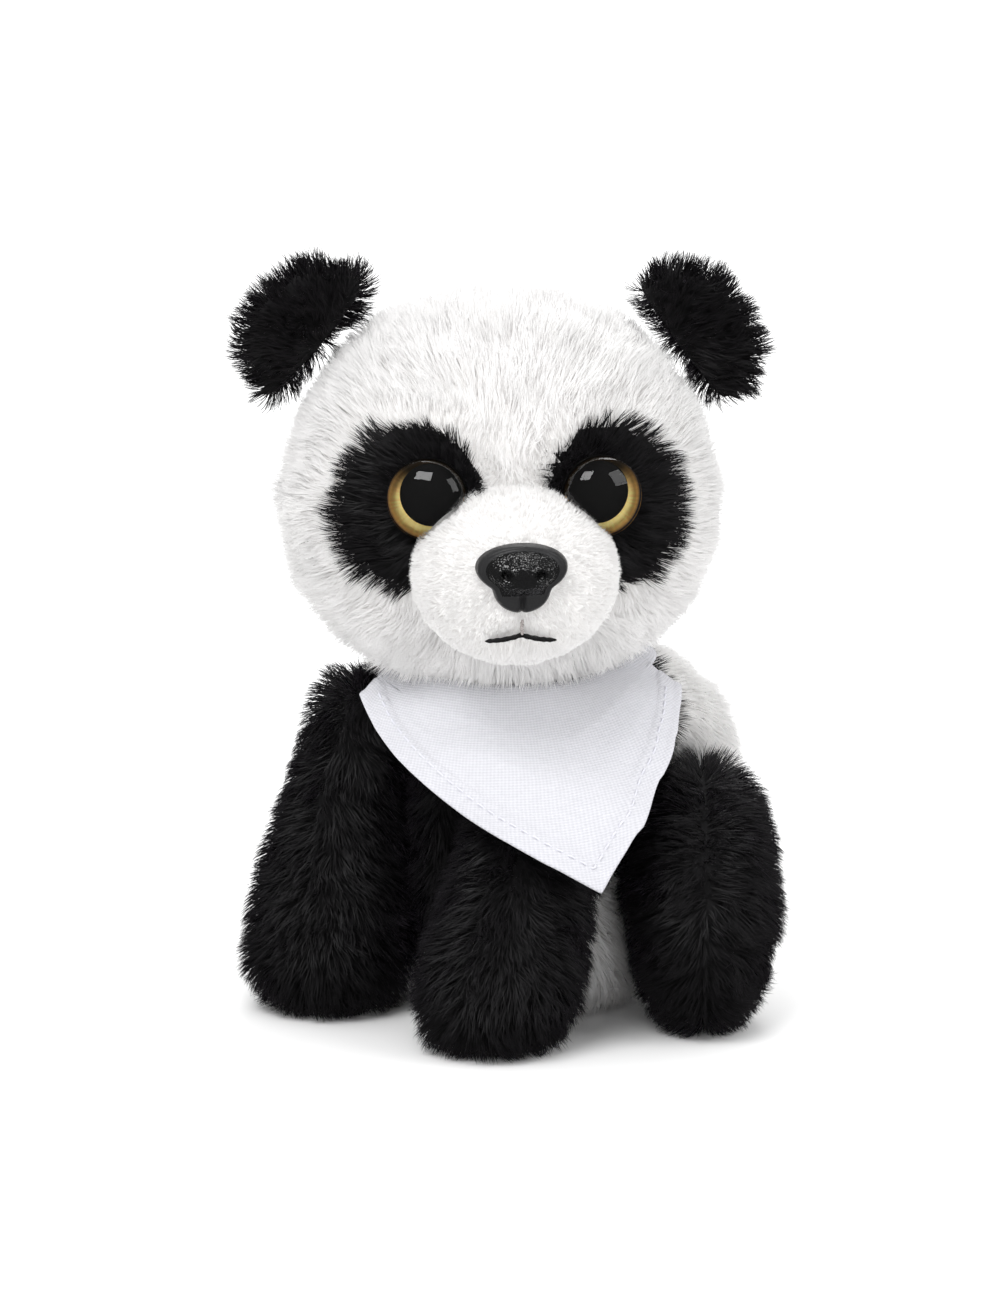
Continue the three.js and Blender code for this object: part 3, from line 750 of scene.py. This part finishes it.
def bearings_of(points):
    offset = points - bandana_axis
    return np.arctan2(offset[:, 0], -offset[:, 1]), np.hypot(offset[:, 0], offset[:, 1])


def cloth_sections(node):
    """The CAD strip's sections: bearing, then heights from top to hem with the outer reach of each."""
    one_section, one_height = math.radians(1), 0.01 * MM
    cloud = corners(node)
    bearing, reach = bearings_of(cloud)
    if node.endswith("band"):  # its two ends are at the front
        bearing = np.mod(bearing, 2 * math.pi)
    order = np.argsort(bearing)
    breaks = np.nonzero(np.diff(bearing[order]) > one_section)[0] + 1
    sections = []
    for group in np.split(order, breaks):
        heights, outer = [], []
        for z in np.unique(np.round(cloud[group, 2], 6))[::-1]:
            level = group[np.abs(cloud[group, 2] - z) < one_height]
            heights.append(z)
            outer.append(reach[level].max())
        sections.append((bearing[group].mean(), np.array(heights), np.array(outer)))
    return sections


def cloth_grid(sections, columns, rows):
    """Points of the cloth, (columns + 1, rows + 1, 3), from the top edge to the hem, and its tip's column."""
    at = np.array([s[0] for s in sections])
    steps = np.linspace(0, 1, max(len(s[1]) for s in sections))
    heights, reaches = (np.array([np.interp(steps, np.linspace(0, 1, len(s[1])), s[k]) for s in sections])
                        for k in (1, 2))
    tip = at[heights[:, -1].argmin()]
    left = int(round(columns * (tip - at[0]) / (at[-1] - at[0])))
    bearing = np.concatenate([np.linspace(at[0], tip, left + 1),
                              np.linspace(tip, at[-1], columns - left + 1)[1:]])
    down = np.linspace(0, 1, rows + 1)
    z, r = (np.array([np.interp(down, steps, column) for column in
                      np.array([np.interp(bearing, at, level) for level in levels.T]).T])
            for levels in (heights, reaches))
    return np.stack([bandana_axis[0] + r * np.sin(bearing)[:, None],
                     bandana_axis[1] - r * np.cos(bearing)[:, None], z], -1), left


def collider(skin, outwards):
    """A stand-in that the cloth rests on, where the pile is pressed flat."""
    copy = new_object(f"{skin.name}_collider", points_of(skin) + normals_of(skin) * outwards,
                      [list(p.vertices) for p in skin.data.polygons])
    copy.modifiers.new("collision", "COLLISION")
    copy.collision.thickness_outer = 0.6 * MM
    copy.collision.cloth_friction = 20
    return copy


def drape(cloth, pinned, frames):
    """Cloth simulation; the result becomes the mesh."""
    group = cloth.vertex_groups.new(name="pinned")
    group.add(pinned, 1.0, "REPLACE")
    modifier = cloth.modifiers.new("cloth", "CLOTH")
    settings = modifier.settings
    settings.quality = 8
    settings.mass = 0.00004
    settings.tension_stiffness = 20
    settings.compression_stiffness = 20
    settings.shear_stiffness = 8
    settings.bending_stiffness = 0.6
    settings.tension_damping = 8
    settings.air_damping = 4
    settings.vertex_group_mass = "pinned"
    modifier.collision_settings.distance_min = 0.6 * MM
    modifier.collision_settings.collision_quality = 4
    scene = bpy.context.scene
    modifier.point_cache.frame_end = frames
    for step in range(1, frames + 1):
        scene.frame_set(step)
    evaluated = cloth.evaluated_get(bpy.context.evaluated_depsgraph_get())
    flat = np.empty(len(evaluated.data.vertices) * 3)
    evaluated.data.vertices.foreach_get("co", flat)
    cloth.modifiers.remove(modifier)
    move_points(cloth, flat.reshape(-1, 3))
    scene.frame_set(1)


grid, tip_column = cloth_grid(cloth_sections("bandana_cloth"), COLUMNS, ROWS)
bandana = new_object("bandana", grid.reshape(-1, 3), grid_faces(COLUMNS, ROWS))
colliders = [collider(skin, INSET) for skin in (torso_skin, leg_skins["front_leg_left"],
                                                leg_skins["front_leg_right"])]
top_edge = [i * (ROWS + 1) for i in range(COLUMNS + 1)]
drape(bandana, top_edge, 24)
for thing in colliders:
    bpy.data.objects.remove(thing)


def twill_material():
    """Pale grey cloth of fine ribs with weaker crossing threads."""
    material, tree, shader = node_material("twill")
    uv = add_node(tree, "UVMap", {}, uv_map="cloth").outputs["UV"]
    height = add_node(tree, "TexNoise", {"Vector": uv, "Scale": 900, "Detail": 3}).outputs["Fac"]
    for direction, scale, weight in (("Y", 571, 1.0), ("X", 628, 0.7)):
        ribs = add_node(tree, "TexWave", {"Vector": uv, "Scale": scale, "Distortion": 0.5,
                                          "Detail Scale": 700}, wave_type="BANDS", bands_direction=direction)
        height = math_node(tree, "MULTIPLY_ADD", ribs.outputs["Fac"], weight, height)
    # The colour follows the weave's height and its random mottling: darker in the hollows between threads,
    # which is painted shade on top of the bump.
    share = math_node(tree, "MULTIPLY", height, 0.48)
    color = color_ramp(tree, [(0.1, (0.49, 0.49, 0.525)), (1.0, (0.62, 0.62, 0.655))], share)
    feed(tree, shader, {"Base Color": color, "Roughness": 0.8, "Specular IOR Level": 0.2,
                        "Sheen Weight": 0.1})
    relief(tree, shader, height, 0.6, 0.09 * MM)
    return material


TWILL = twill_material()
STITCH_THREAD = plain_material("stitch_thread", (0.66, 0.66, 0.72), 0.8, scale=3000, strength=0.4)
HEM_WIDTH = 4.6 * MM


def hem_distance(points):
    """Distance from each point of a cloth grid to its hem, the bottom of every column."""
    hem = points[:, -1]
    fine = np.linspace(0, len(hem) - 1, len(hem) * 4)
    tree = point_tree(between(fine, range(len(hem)), hem))
    return np.array([tree.find(p)[2] for p in points.reshape(-1, 3)])


def fold_cloth(cloth, columns, rows):
    """Soft folds, and the doubled cloth of the turned hem."""
    points, normals = points_of(cloth), normals_of(cloth)
    outside = np.sign((normals * (points - [*bandana_axis[:2], 0])).sum(1)[:, None] + 1e-9)
    from_hem = hem_distance(points.reshape(columns + 1, rows + 1, 3))
    soft = 1.5 * MM * waves(points * [1, 1, 0.6], 34 * MM, 77)[:, 0]
    small = 0.5 * MM * waves(points, 16 * MM, 78)[:, 0]
    hem = 0.4 * MM * smoothstep(HEM_WIDTH + 0.5 * MM, HEM_WIDTH - 0.3 * MM, from_hem)
    edge = 0.35 * MM * smoothstep(1.6 * MM, 0.4 * MM, from_hem)
    move_points(cloth, points + normals * outside * (soft + small + hem + edge)[:, None])


def finish_cloth(cloth, thickness, columns, rows):
    """A UV map in cloth lengths and the cloth's thickness."""
    mesh = cloth.data
    points = points_of(cloth).reshape(columns + 1, rows + 1, 3)
    across = np.zeros((columns + 1, rows + 1))
    across[1:] = np.cumsum(np.linalg.norm(np.diff(points[:, :1], axis=0), axis=2), axis=0)
    down = np.zeros_like(across)
    down[:, 1:] = np.cumsum(np.linalg.norm(np.diff(points, axis=1), axis=2), axis=1)
    uv = np.stack([across, -down], -1).reshape(-1, 2)
    loops = np.empty(len(mesh.loops), np.int32)
    mesh.loops.foreach_get("vertex_index", loops)
    layer = mesh.uv_layers.new(name="cloth")
    layer.uv.foreach_set("vector", uv[loops].astype(np.float32).ravel())
    solid = cloth.modifiers.new("thickness", "SOLIDIFY")
    solid.thickness = thickness
    solid.offset = 0
    mesh.materials.append(TWILL)


def stitch_line(cloth, columns, rows):
    """Points along the hem's upper edge and the cloth's outward direction at each."""
    points = points_of(cloth).reshape(columns + 1, rows + 1, 3)
    normals = normals_of(cloth).reshape(columns + 1, rows + 1, 3)
    from_hem = hem_distance(points).reshape(columns + 1, rows + 1)
    line, ups = [], []
    for i in range(2, columns - 1):
        at = np.interp(-(HEM_WIDTH - 0.9 * MM), -from_hem[i], range(rows + 1))
        row = min(int(at), rows - 1)
        line.append(points[i, row] + (points[i, row + 1] - points[i, row]) * (at - row))
        ups.append(normals[i, row] * np.sign(normals[i, row] @ (line[-1] - bandana_axis) + 1e-9))
    return np.array(line), np.array(ups)


def hem_stitches(cloth, columns, rows):
    """Short dashes of thread that dive into the cloth at both ends."""
    line, ups = stitch_line(cloth, columns, rows)
    run = np.append(0, np.cumsum(np.linalg.norm(np.diff(line, axis=0), axis=1)))
    pitch, dash, thick, around = 2.6 * MM, 1.7 * MM, 0.2 * MM, 8
    along, rise = np.array([0, 0.25, 0.5, 0.75, 1]), np.array([-2, 0.7, 1, 0.7, -2])
    points, faces = [], []
    for start in np.arange(2 * MM, run[-1] - 3 * MM, pitch):
        at = start + dash * along
        up = unit(between(at, run, ups))
        path = between(at, run, line) + up * (0.45 * MM + 0.12 * MM * rise)[:, None]
        side = unit(np.cross(np.gradient(path, axis=0), up))
        faces += ring_faces(len(along), around, len(points))
        points += list(rings_round(path, side, up, thick, around))
    stitches = new_object("hem_stitches", points, faces)
    stitches.data.materials.append(STITCH_THREAD)
    return stitches


fold_cloth(bandana, COLUMNS, ROWS)
finish_cloth(bandana, 0.7 * MM, COLUMNS, ROWS)
stitches = hem_stitches(bandana, COLUMNS, ROWS)
cloth_now = points_of(bandana).reshape(COLUMNS + 1, ROWS + 1, 3)
for piece in (bandana, stitches):
    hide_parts("bandana_cloth")
    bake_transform(piece)


# ------------------------------------------------------------------ pile, body by body
def outside_torso(roots):
    return ~buried(roots, torso_skin, 3 * MM)


def under_bandana(paths):
    press_under(paths, bandana)


def head_keep(roots):
    """No pile under the muzzle, or under the lower half of an eye."""
    local = head.local(roots)
    kept = np.linalg.norm((local - MUZZLE_CENTRE) / MUZZLE_HALF, axis=1) > 0.9
    for place, radius in EYES.values():
        flat = np.linalg.norm(place.local(roots)[:, :2], axis=1)
        kept &= (flat > radius * 0.8) | (local[:, 1] > 0)
    return kept


def under_domes(roots):
    """Which roots lie inside the clear domes of the eyes."""
    inside = np.zeros(len(roots), bool)
    for word, (place, radius) in EYES.items():
        local = place.local(roots)
        height = place.local(corners(f"eye_{word}_lens"))[:, 2].max()
        flat = np.linalg.norm(local[:, :2], axis=1) / radius
        inside |= (flat**2 + (np.maximum(local[:, 2], 0) / height) ** 2 < 1) & (local[:, 2] > -3 * MM)
    return inside


def muzzle_keep(roots):
    """No short pile inside the head, under the nose or in the eyes."""
    local = head.local(roots)
    nose_half = np.array([9 * MM, 7.5 * MM])
    inside_head = np.linalg.norm(local / (HEAD_HALF - INSET * 0.6), axis=1) < 1
    under_nose = np.linalg.norm((local - NOSE_FRONT)[:, [0, 2]] / nose_half, axis=1) < 0.8
    return ~inside_head & ~under_nose & ~under_domes(roots)


def tail_lay(roots, normals):
    return np.array([0, 0.8, -0.6]) + 0 * roots


head_panels = {node: ("white", WHITE_FUR) for node in HEAD_COVERS}
head_panels |= {f"eye_patch_{word}": ("patch", BLACK_FUR) for word, _ in SIDES}
torso_panels = {node: ("black", BLACK_FUR) if "yoke" in node else ("white", WHITE_FUR)
                for node in TORSO_COVERS}
tail_panels = {f"tail_{part}_cover": ("white", WHITE_FUR) for part in ("upper", "lower")}
clothe(head_skin, "head", head_panels, head_lay, 1, "white_plush", "head_stuffing",
       keep=head_keep, adjust=clear_of_eyes)
clothe(muzzle_skin, "head", {"muzzle_cover": ("muzzle", WHITE_FUR)}, muzzle_lay, 2, "muzzle_plush",
       "head_stuffing", keep=muzzle_keep)
clothe(torso_skin, "torso", torso_panels, down_lay, 3, "black_plush", "torso_stuffing", "pellet_pouch",
       adjust=under_bandana)
clothe(tail_skin, "tail", tail_panels, tail_lay, 4, "white_plush", "tail_stuffing")
clothe(neck_skin, "neck", {"neck_stuffing": ("white", WHITE_FUR)}, down_lay, 5, "white_plush",
       "neck_stuffing", adjust=under_bandana)
for word, side in SIDES:
    for limb, parting, seed in (("front_leg", 0.25, 20), ("hind_leg", 0.9, 25)):
        leg = f"{limb}_{word}"
        outer, inner = (corners(f"{leg}_{part}_cover").mean(0) for part in ("outer", "inner"))
        seam = seam_lay((outer + inner) / 2, (outer - inner) * (1, 1, 0), parting)
        panels = {f"{leg}_{part}_cover": ("black", BLACK_FUR) for part in ("outer", "inner")}
        clothe(leg_skins[leg], leg, panels, seam, seed + side, "black_plush", f"{leg}_stuffing",
               keep=outside_torso, adjust=under_bandana)
    panels = {f"ear_{word}_{face}": ("ear", BLACK_FUR) for face in ("front", "back")}
    clothe(ear_skins[word], f"ear_{word}", panels, ear_lay(word), 40 + side, "black_plush", *panels)


# ------------------------------------------------------------------ eyes
def turned_mesh(name, place, profile, around=64):
    """A surface turned about the place's Z axis from (radius, height) points, closed at the last height."""
    points = [(radius * math.cos(turn), radius * math.sin(turn), height)
              for radius, height in profile[:-1] for turn in turns_of(around)]
    last_ring, tip = len(points) - around, len(points)
    faces = ring_faces(len(profile) - 1, around) + fan_faces(last_ring, around, tip)
    return new_object(name, place.world(points + [(0, 0, profile[-1][1])]), faces)


def radial_gold(name):
    """Printed foil: fine streaks towards the pupil and dark at its rim, with painted shade at its top and
    inner side, where the pile hangs over the eye, and painted light at its lower outer side.
    """
    material, tree, shader = node_material(name)
    turn, reach = map_axes(tree, "polar")
    gold = color_ramp(tree, [(0.0, (0.20, 0.09, 0.02)), (0.35, (0.62, 0.36, 0.09)),
                             (0.75, (0.85, 0.56, 0.20)), (0.93, (0.55, 0.30, 0.08)),
                             (1.0, (0.06, 0.03, 0.015))], reach)
    stretch = add_node(tree, "CombineXYZ", {"X": turn})
    noise = add_node(tree, "TexNoise", {"Vector": stretch.outputs[0], "Scale": 60})
    streaks = add_node(tree, "MapRange", {"Value": noise.outputs["Fac"], "To Min": 0.55, "To Max": 1.35})
    # Painted light and shade round the ring: up to 2.1 times brighter at its lower outer side, down to 0.05
    # at its top and inner side.
    from_lit_side = math_node(tree, "MULTIPLY_ADD", turn, 2 * math.pi, math.radians(60) - math.pi)
    lit = add_node(tree, "MapRange", {"Value": math_node(tree, "COSINE", from_lit_side), "From Min": -0.5,
                                      "From Max": 0.7, "To Min": 0.05, "To Max": 2.1},
                   interpolation_type="SMOOTHSTEP")
    tone = math_node(tree, "MULTIPLY", streaks.outputs["Result"], lit.outputs["Result"])
    feed(tree, shader, {"Base Color": toned(tree, gold, tone), "Metallic": 0.6, "Roughness": 0.35})
    return material


def clear_material(name):
    """Clear plastic: see-through, with reflections that grow towards its edge."""
    material, tree, _ = node_material(name)
    fresnel = add_node(tree, "Fresnel", {"IOR": 1.5})
    gloss = add_node(tree, "BsdfGlossy", {"Roughness": 0.03})
    share = math_node(tree, "MULTIPLY", fresnel.outputs[0], 0.95)
    show(tree, share, add_node(tree, "BsdfTransparent", {}), gloss)
    return material


GOLD = radial_gold("gold_foil")
CLEAR = clear_material("clear_plastic")
DULL_BLACK = plain_material("black_plastic", (0.004, 0.004, 0.004), 0.5,
                            scale=400, strength=0.05, specular=0.05)


def add_iris(name, place, radius, side):
    """A flat disc with a polar map: the turn from its outer side along U, the reach along V."""
    iris = turned_mesh(name, place, [(radius * k / 24, 0) for k in range(24, -1, -1)])
    layer = iris.data.uv_layers.new(name="polar")
    local = place.local(points_of(iris))
    for loop in iris.data.loops:
        x, y, _ = local[loop.vertex_index]
        turn = math.atan2(y, side * x) / (2 * math.pi) + 0.5
        layer.uv[loop.index].vector = (turn, math.hypot(x, y) / radius)
    return iris


def add_pupil(name, place, cloud):
    """A thin black disc with a rounded edge, a little wider than the CAD pupil."""
    middle, half = middle_and_half(cloud)
    radius = 1.05 * half[0]
    profile = [(radius * 0.9, -0.1 * MM), (radius, 0), (radius * 0.97, 0.15 * MM), (0, 0.2 * MM)]
    return turned_mesh(name, Place(place.world(middle), place.axes[0], place.axes[2]), profile)


def add_dome(name, place, radius, cloud):
    """The clear quarter-round dome over the eye."""
    low, high = cloud[:, 2].min(), cloud[:, 2].max()
    rises = np.linspace(0, math.pi / 2, 25)[:-1]
    dome = [(radius * math.cos(rise), low + (high - low) * math.sin(rise)) for rise in rises]
    return turned_mesh(name, place, dome + [(0, high)])


for word, side in SIDES:
    place, radius = EYES[word]
    pupil_cloud, lens_cloud = (place.local(corners(f"eye_{word}_{part}")) for part in ("pupil", "lens"))
    iris = add_iris(f"eye_{word}_gold", place, radius, side)
    pupil = add_pupil(f"eye_{word}_black", place, pupil_cloud)
    dome = add_dome(f"eye_{word}_dome", place, radius, lens_cloud)
    fit(iris, "head", "gold_foil", f"eye_{word}_iris", material=GOLD)
    fit(pupil, "head", "black_plastic", f"eye_{word}_pupil", material=DULL_BLACK)
    fit(dome, "head", "clear_plastic", f"eye_{word}_lens", material=CLEAR)
    finish_node(f"eye_{word}_base", DULL_BLACK)
    finish_node(f"eye_{word}_washer", WASHER)
finish_node("nose_washer", WASHER)


# ------------------------------------------------------------------ nose
def nose_material(name, grey, roughness, specular, grain_depth, grain_scale):
    """Moulded black plastic with a fine leather grain."""
    material, tree, shader = node_material(name)
    feed(tree, shader, {"Base Color": (grey, grey, 1.05 * grey, 1), "Roughness": roughness,
                        "Specular IOR Level": specular})
    place = add_node(tree, "TexCoord", {}).outputs["Object"]
    grain = add_node(tree, "TexVoronoi", {"Vector": place, "Scale": grain_scale})
    relief(tree, shader, grain.outputs["Distance"], grain_depth, 0.2 * MM, invert=True)
    return material


def nose_outline(angle, half_width, top, bottom):
    """Distance to the outline from the nose's centre: a wide oval over a narrower lobe."""
    across, up = np.cos(angle), np.sin(angle)
    oval = 1 / np.sqrt((across / half_width) ** 2 + (up / top) ** 2)
    lobe_x, lobe_z, lobe_centre = half_width * 0.6, top * 0.86, -(bottom - top * 0.86)
    a = (across / lobe_x) ** 2 + (up / lobe_z) ** 2
    b = -2 * up * lobe_centre / lobe_z**2
    c = (lobe_centre / lobe_z) ** 2 - 1
    inside = np.maximum(b * b - 4 * a * c, 0)
    lobe = np.where(inside > 0, (-b + np.sqrt(inside)) / (2 * a), 0)
    return (oval**10 + np.maximum(lobe, 0) ** 10) ** 0.1


def nose_height(x, z, share, half_width, top, bottom):
    """Forward height over the muzzle: the edge, the rim, the raised face inside it and the nostrils."""
    edge = 2.4 * MM * np.sqrt(np.clip(1 - ((share - 0.9).clip(0) / 0.1) ** 2, 0, 1))
    raised = 1.5 * MM * smoothstep(0.86, 0.62, share) + 0.9 * MM * (1 - (share / 0.62) ** 2).clip(0)
    groove = 1.3 * MM * np.exp(-((x / (0.45 * MM)) ** 2)) * smoothstep(-0.35 * bottom, -0.7 * bottom, z)
    height = edge + raised * smoothstep(-0.62 * bottom, -0.30 * bottom, z) - groove
    for side in (1, -1):
        away = np.hypot(x - side * half_width * 0.37, z + top * 0.12)
        height -= 1.5 * MM * np.exp(-((away / (0.85 * MM)) ** 2))
        height += 0.35 * MM * np.exp(-(((away - 1.5 * MM) / (0.35 * MM)) ** 2))
    return height


def add_nose():
    """A moulding of closed rings of points from its outline to its middle: a glossy face inside a satin rim,
    whose lighter grey is painted sheen.
    """
    cloud = head.local(corners("nose"))
    front = cloud[cloud[:, 1] < cloud[:, 1].min() + 6 * MM]
    low, high = front.min(0), front.max(0)
    half_width = (high[0] - low[0]) / 2
    top = (high[2] - low[2]) * 0.36
    centre_z = high[2] - top
    bottom = centre_z - low[2]
    around, rings = 128, 44
    angles = turns_of(around)
    outline = nose_outline(angles, half_width, top, bottom)
    share = np.repeat(np.linspace(1, 0, rings + 1)[:-1, None] ** 0.8, around, 1)
    x = share * outline * np.cos(angles)
    z = share * outline * np.sin(angles)
    bulge = (x**2 + z**2) / (2 * MUZZLE_HALF[0])
    y = low[1] + 4.6 * MM + bulge - nose_height(x, z, share, half_width, top, bottom)
    points = np.stack([x, y, z + centre_z], -1).reshape(-1, 3)
    last_ring, tip = len(points) - around, len(points)
    points = np.vstack([points, points[last_ring:].mean(0)])
    faces = ring_faces(rings, around) + fan_faces(last_ring, around, tip)
    satin = (share[:-1] >= 0.80) | (z[:-1] <= -0.55 * bottom)
    nose = new_object("nose_moulding", head.world(points), faces)
    nose.data.materials.append(nose_material("grained_plastic", 0.005, 0.16, 0.8, 1.0, 2000))
    # The rim is partly real satin finish (rougher, finer grain) and partly painted sheen: its grey, 0.02
    # against the glossy face's 0.005, stands in for the soft reflection it scatters.
    nose.data.materials.append(nose_material("satin_plastic_painted_sheen", 0.02, 0.42, 0.5, 0.25, 2500))
    material_of = np.append(satin.ravel(), np.zeros(around))
    nose.data.polygons.foreach_set("material_index", material_of.astype(np.int32))
    fit(nose, "head", "black_plastic", "nose")


add_nose()


# ------------------------------------------------------------------ mouth
def tube(name, path, radius, around=10):
    """A thread along a path, with rounded ends and a slight twist in its thickness."""
    tangent = unit(np.gradient(path, axis=0))
    side = unit(np.cross(tangent, head.axes[2] + 0.3 * head.axes[0]))
    along = np.linspace(0, 1, len(path))[:, None, None]
    taper = np.sqrt(np.maximum(0.02, 1 - (2 * along - 1) ** 8))
    ripple = 1 + 0.12 * np.sin(2 * turns_of(around)[None, :, None] + 60 * along)
    points = rings_round(path, side, np.cross(side, tangent), radius * taper * ripple, around)
    ends = [tuple(range(around))[::-1], tuple(range(len(points) - around, len(points)))]
    return new_object(name, points, ring_faces(len(path), around) + ends)


BLACK_THREAD = plain_material("black_thread", (0.004, 0.0035, 0.004), 0.8, scale=2500, strength=0.5)
# The lip thread's grey is a pale thread darkened by painted shade, for the groove it lies in.
SHADED_PALE_THREAD = plain_material("pale_thread", (0.36, 0.33, 0.32), 0.8, scale=2500, strength=0.5)


def thread_path(node, axis, steps):
    """The middle line of a CAD thread that runs along one of the head's axes, moved onto the pile."""
    local = head.local(corners(node))
    sections, corners_in_section = 9, 8
    at = np.linspace(local[:, axis].min(), local[:, axis].max(), sections)
    middle = np.array([local[np.abs(local[:, axis] - a).argsort()[:corners_in_section]].mean(0) for a in at])
    if axis == 0:  # the mouth rises to a small peak under the lip
        share = middle[:, 0] / middle[:, 0].max()
        middle[:, 2] += 0.7 * MM * np.exp(-((share / 0.2) ** 2))
    fine = np.linspace(0, sections - 1, steps)
    return head.world(between(fine, range(sections), middle) + np.array([0, -0.3 * MM, 0]))


for node, axis, material, slot, radius in (("mouth_thread", 0, BLACK_THREAD, "black_thread", 0.48 * MM),
                                           ("lip_thread", 2, SHADED_PALE_THREAD, "pale_thread", 0.34 * MM)):
    piece = tube(node.replace("thread", "stitch"), thread_path(node, axis, 40), radius)
    fit(piece, "head", slot, node, material=material)

# ------------------------------------------------------------------ neck band
BAND_COLUMNS, BAND_ROWS = 120, 10
band_grid, _ = cloth_grid(cloth_sections("bandana_neck_band"), BAND_COLUMNS, BAND_ROWS)
band_grid[..., :2] += (bandana_axis[:2] - band_grid[..., :2]) * 0.09  # tied into the neck's pile
band = new_object("neck_band", band_grid.reshape(-1, 3), grid_faces(BAND_COLUMNS, BAND_ROWS))
finish_cloth(band, 0.9 * MM, BAND_COLUMNS, BAND_ROWS)
fit(band, "torso", "twill", "bandana_neck_band")


# ------------------------------------------------------------------ the studio
def aim(azimuth, elevation):
    a, e = math.radians(azimuth), math.radians(elevation)
    return Vector((math.sin(a) * math.cos(e), -math.cos(a) * math.cos(e), math.sin(e)))


def pale_floor():
    reach = 8  # metres
    signs = ((-1, -1), (1, -1), (1, 1), (-1, 1))
    floor = new_object("floor", [(x * reach, y * reach, 0) for x, y in signs], [(0, 1, 2, 3)], smooth=False)
    floor.data.materials.append(plain_material("pale_floor", (0.97,) * 3, 0.8, scale=20, strength=0.01))
    floor.visible_glossy = False


def white_surroundings():
    """White all round, which glossy plastic mirrors as a dim room."""
    world = bpy.data.worlds.new("studio")
    world.use_nodes = True
    tree = world.node_tree
    rays = add_node(tree, "LightPath", {})
    brightness = add_node(tree, "Mix", {"Factor": rays.outputs["Is Glossy Ray"], "A": 1.0, "B": 0.1})
    feed(tree, tree.nodes["Background"], {"Color": (1, 1, 1, 1), "Strength": brightness.outputs["Result"]})
    bpy.context.scene.world = world


def area_lights():
    distance, aimed_at = 1.15, Vector((0, 0, 80 * MM))
    for name, azimuth, elevation, width, height, power in (("key", 8, 50, 0.62, 0.48, 7.5),
                                                           ("back", 205, 42, 0.60, 0.60, 5),
                                                           ("fill", 95, 30, 0.60, 0.60, 3)):
        light = bpy.data.lights.new(name, "AREA")
        light.shape = "RECTANGLE"
        light.size, light.size_y = width, height
        light.energy = power
        towards = aim(azimuth, elevation)
        obj = link(name, light)
        obj.location = towards * distance + aimed_at
        obj.rotation_euler = towards.to_track_quat("Z", "Y").to_euler()


def camera():
    """A long lens from far off, because the toy is seen almost without perspective."""
    towards, distance = aim(33, 14), 3.0
    data = bpy.data.cameras.new("camera")
    data.lens = 420
    obj = link("camera", data)
    obj.location = Vector((0, 0, 71.3 * MM)) + towards * distance
    obj.rotation_euler = (-towards).to_track_quat("-Z", "Y").to_euler()
    scene = bpy.context.scene
    scene.camera = obj
    scene.view_settings.view_transform = "Standard"
    scene.cycles.max_bounces = 16
    scene.cycles.diffuse_bounces = 8
    scene.cycles.transparent_max_bounces = 16


pale_floor()
white_surroundings()
area_lights()
camera()
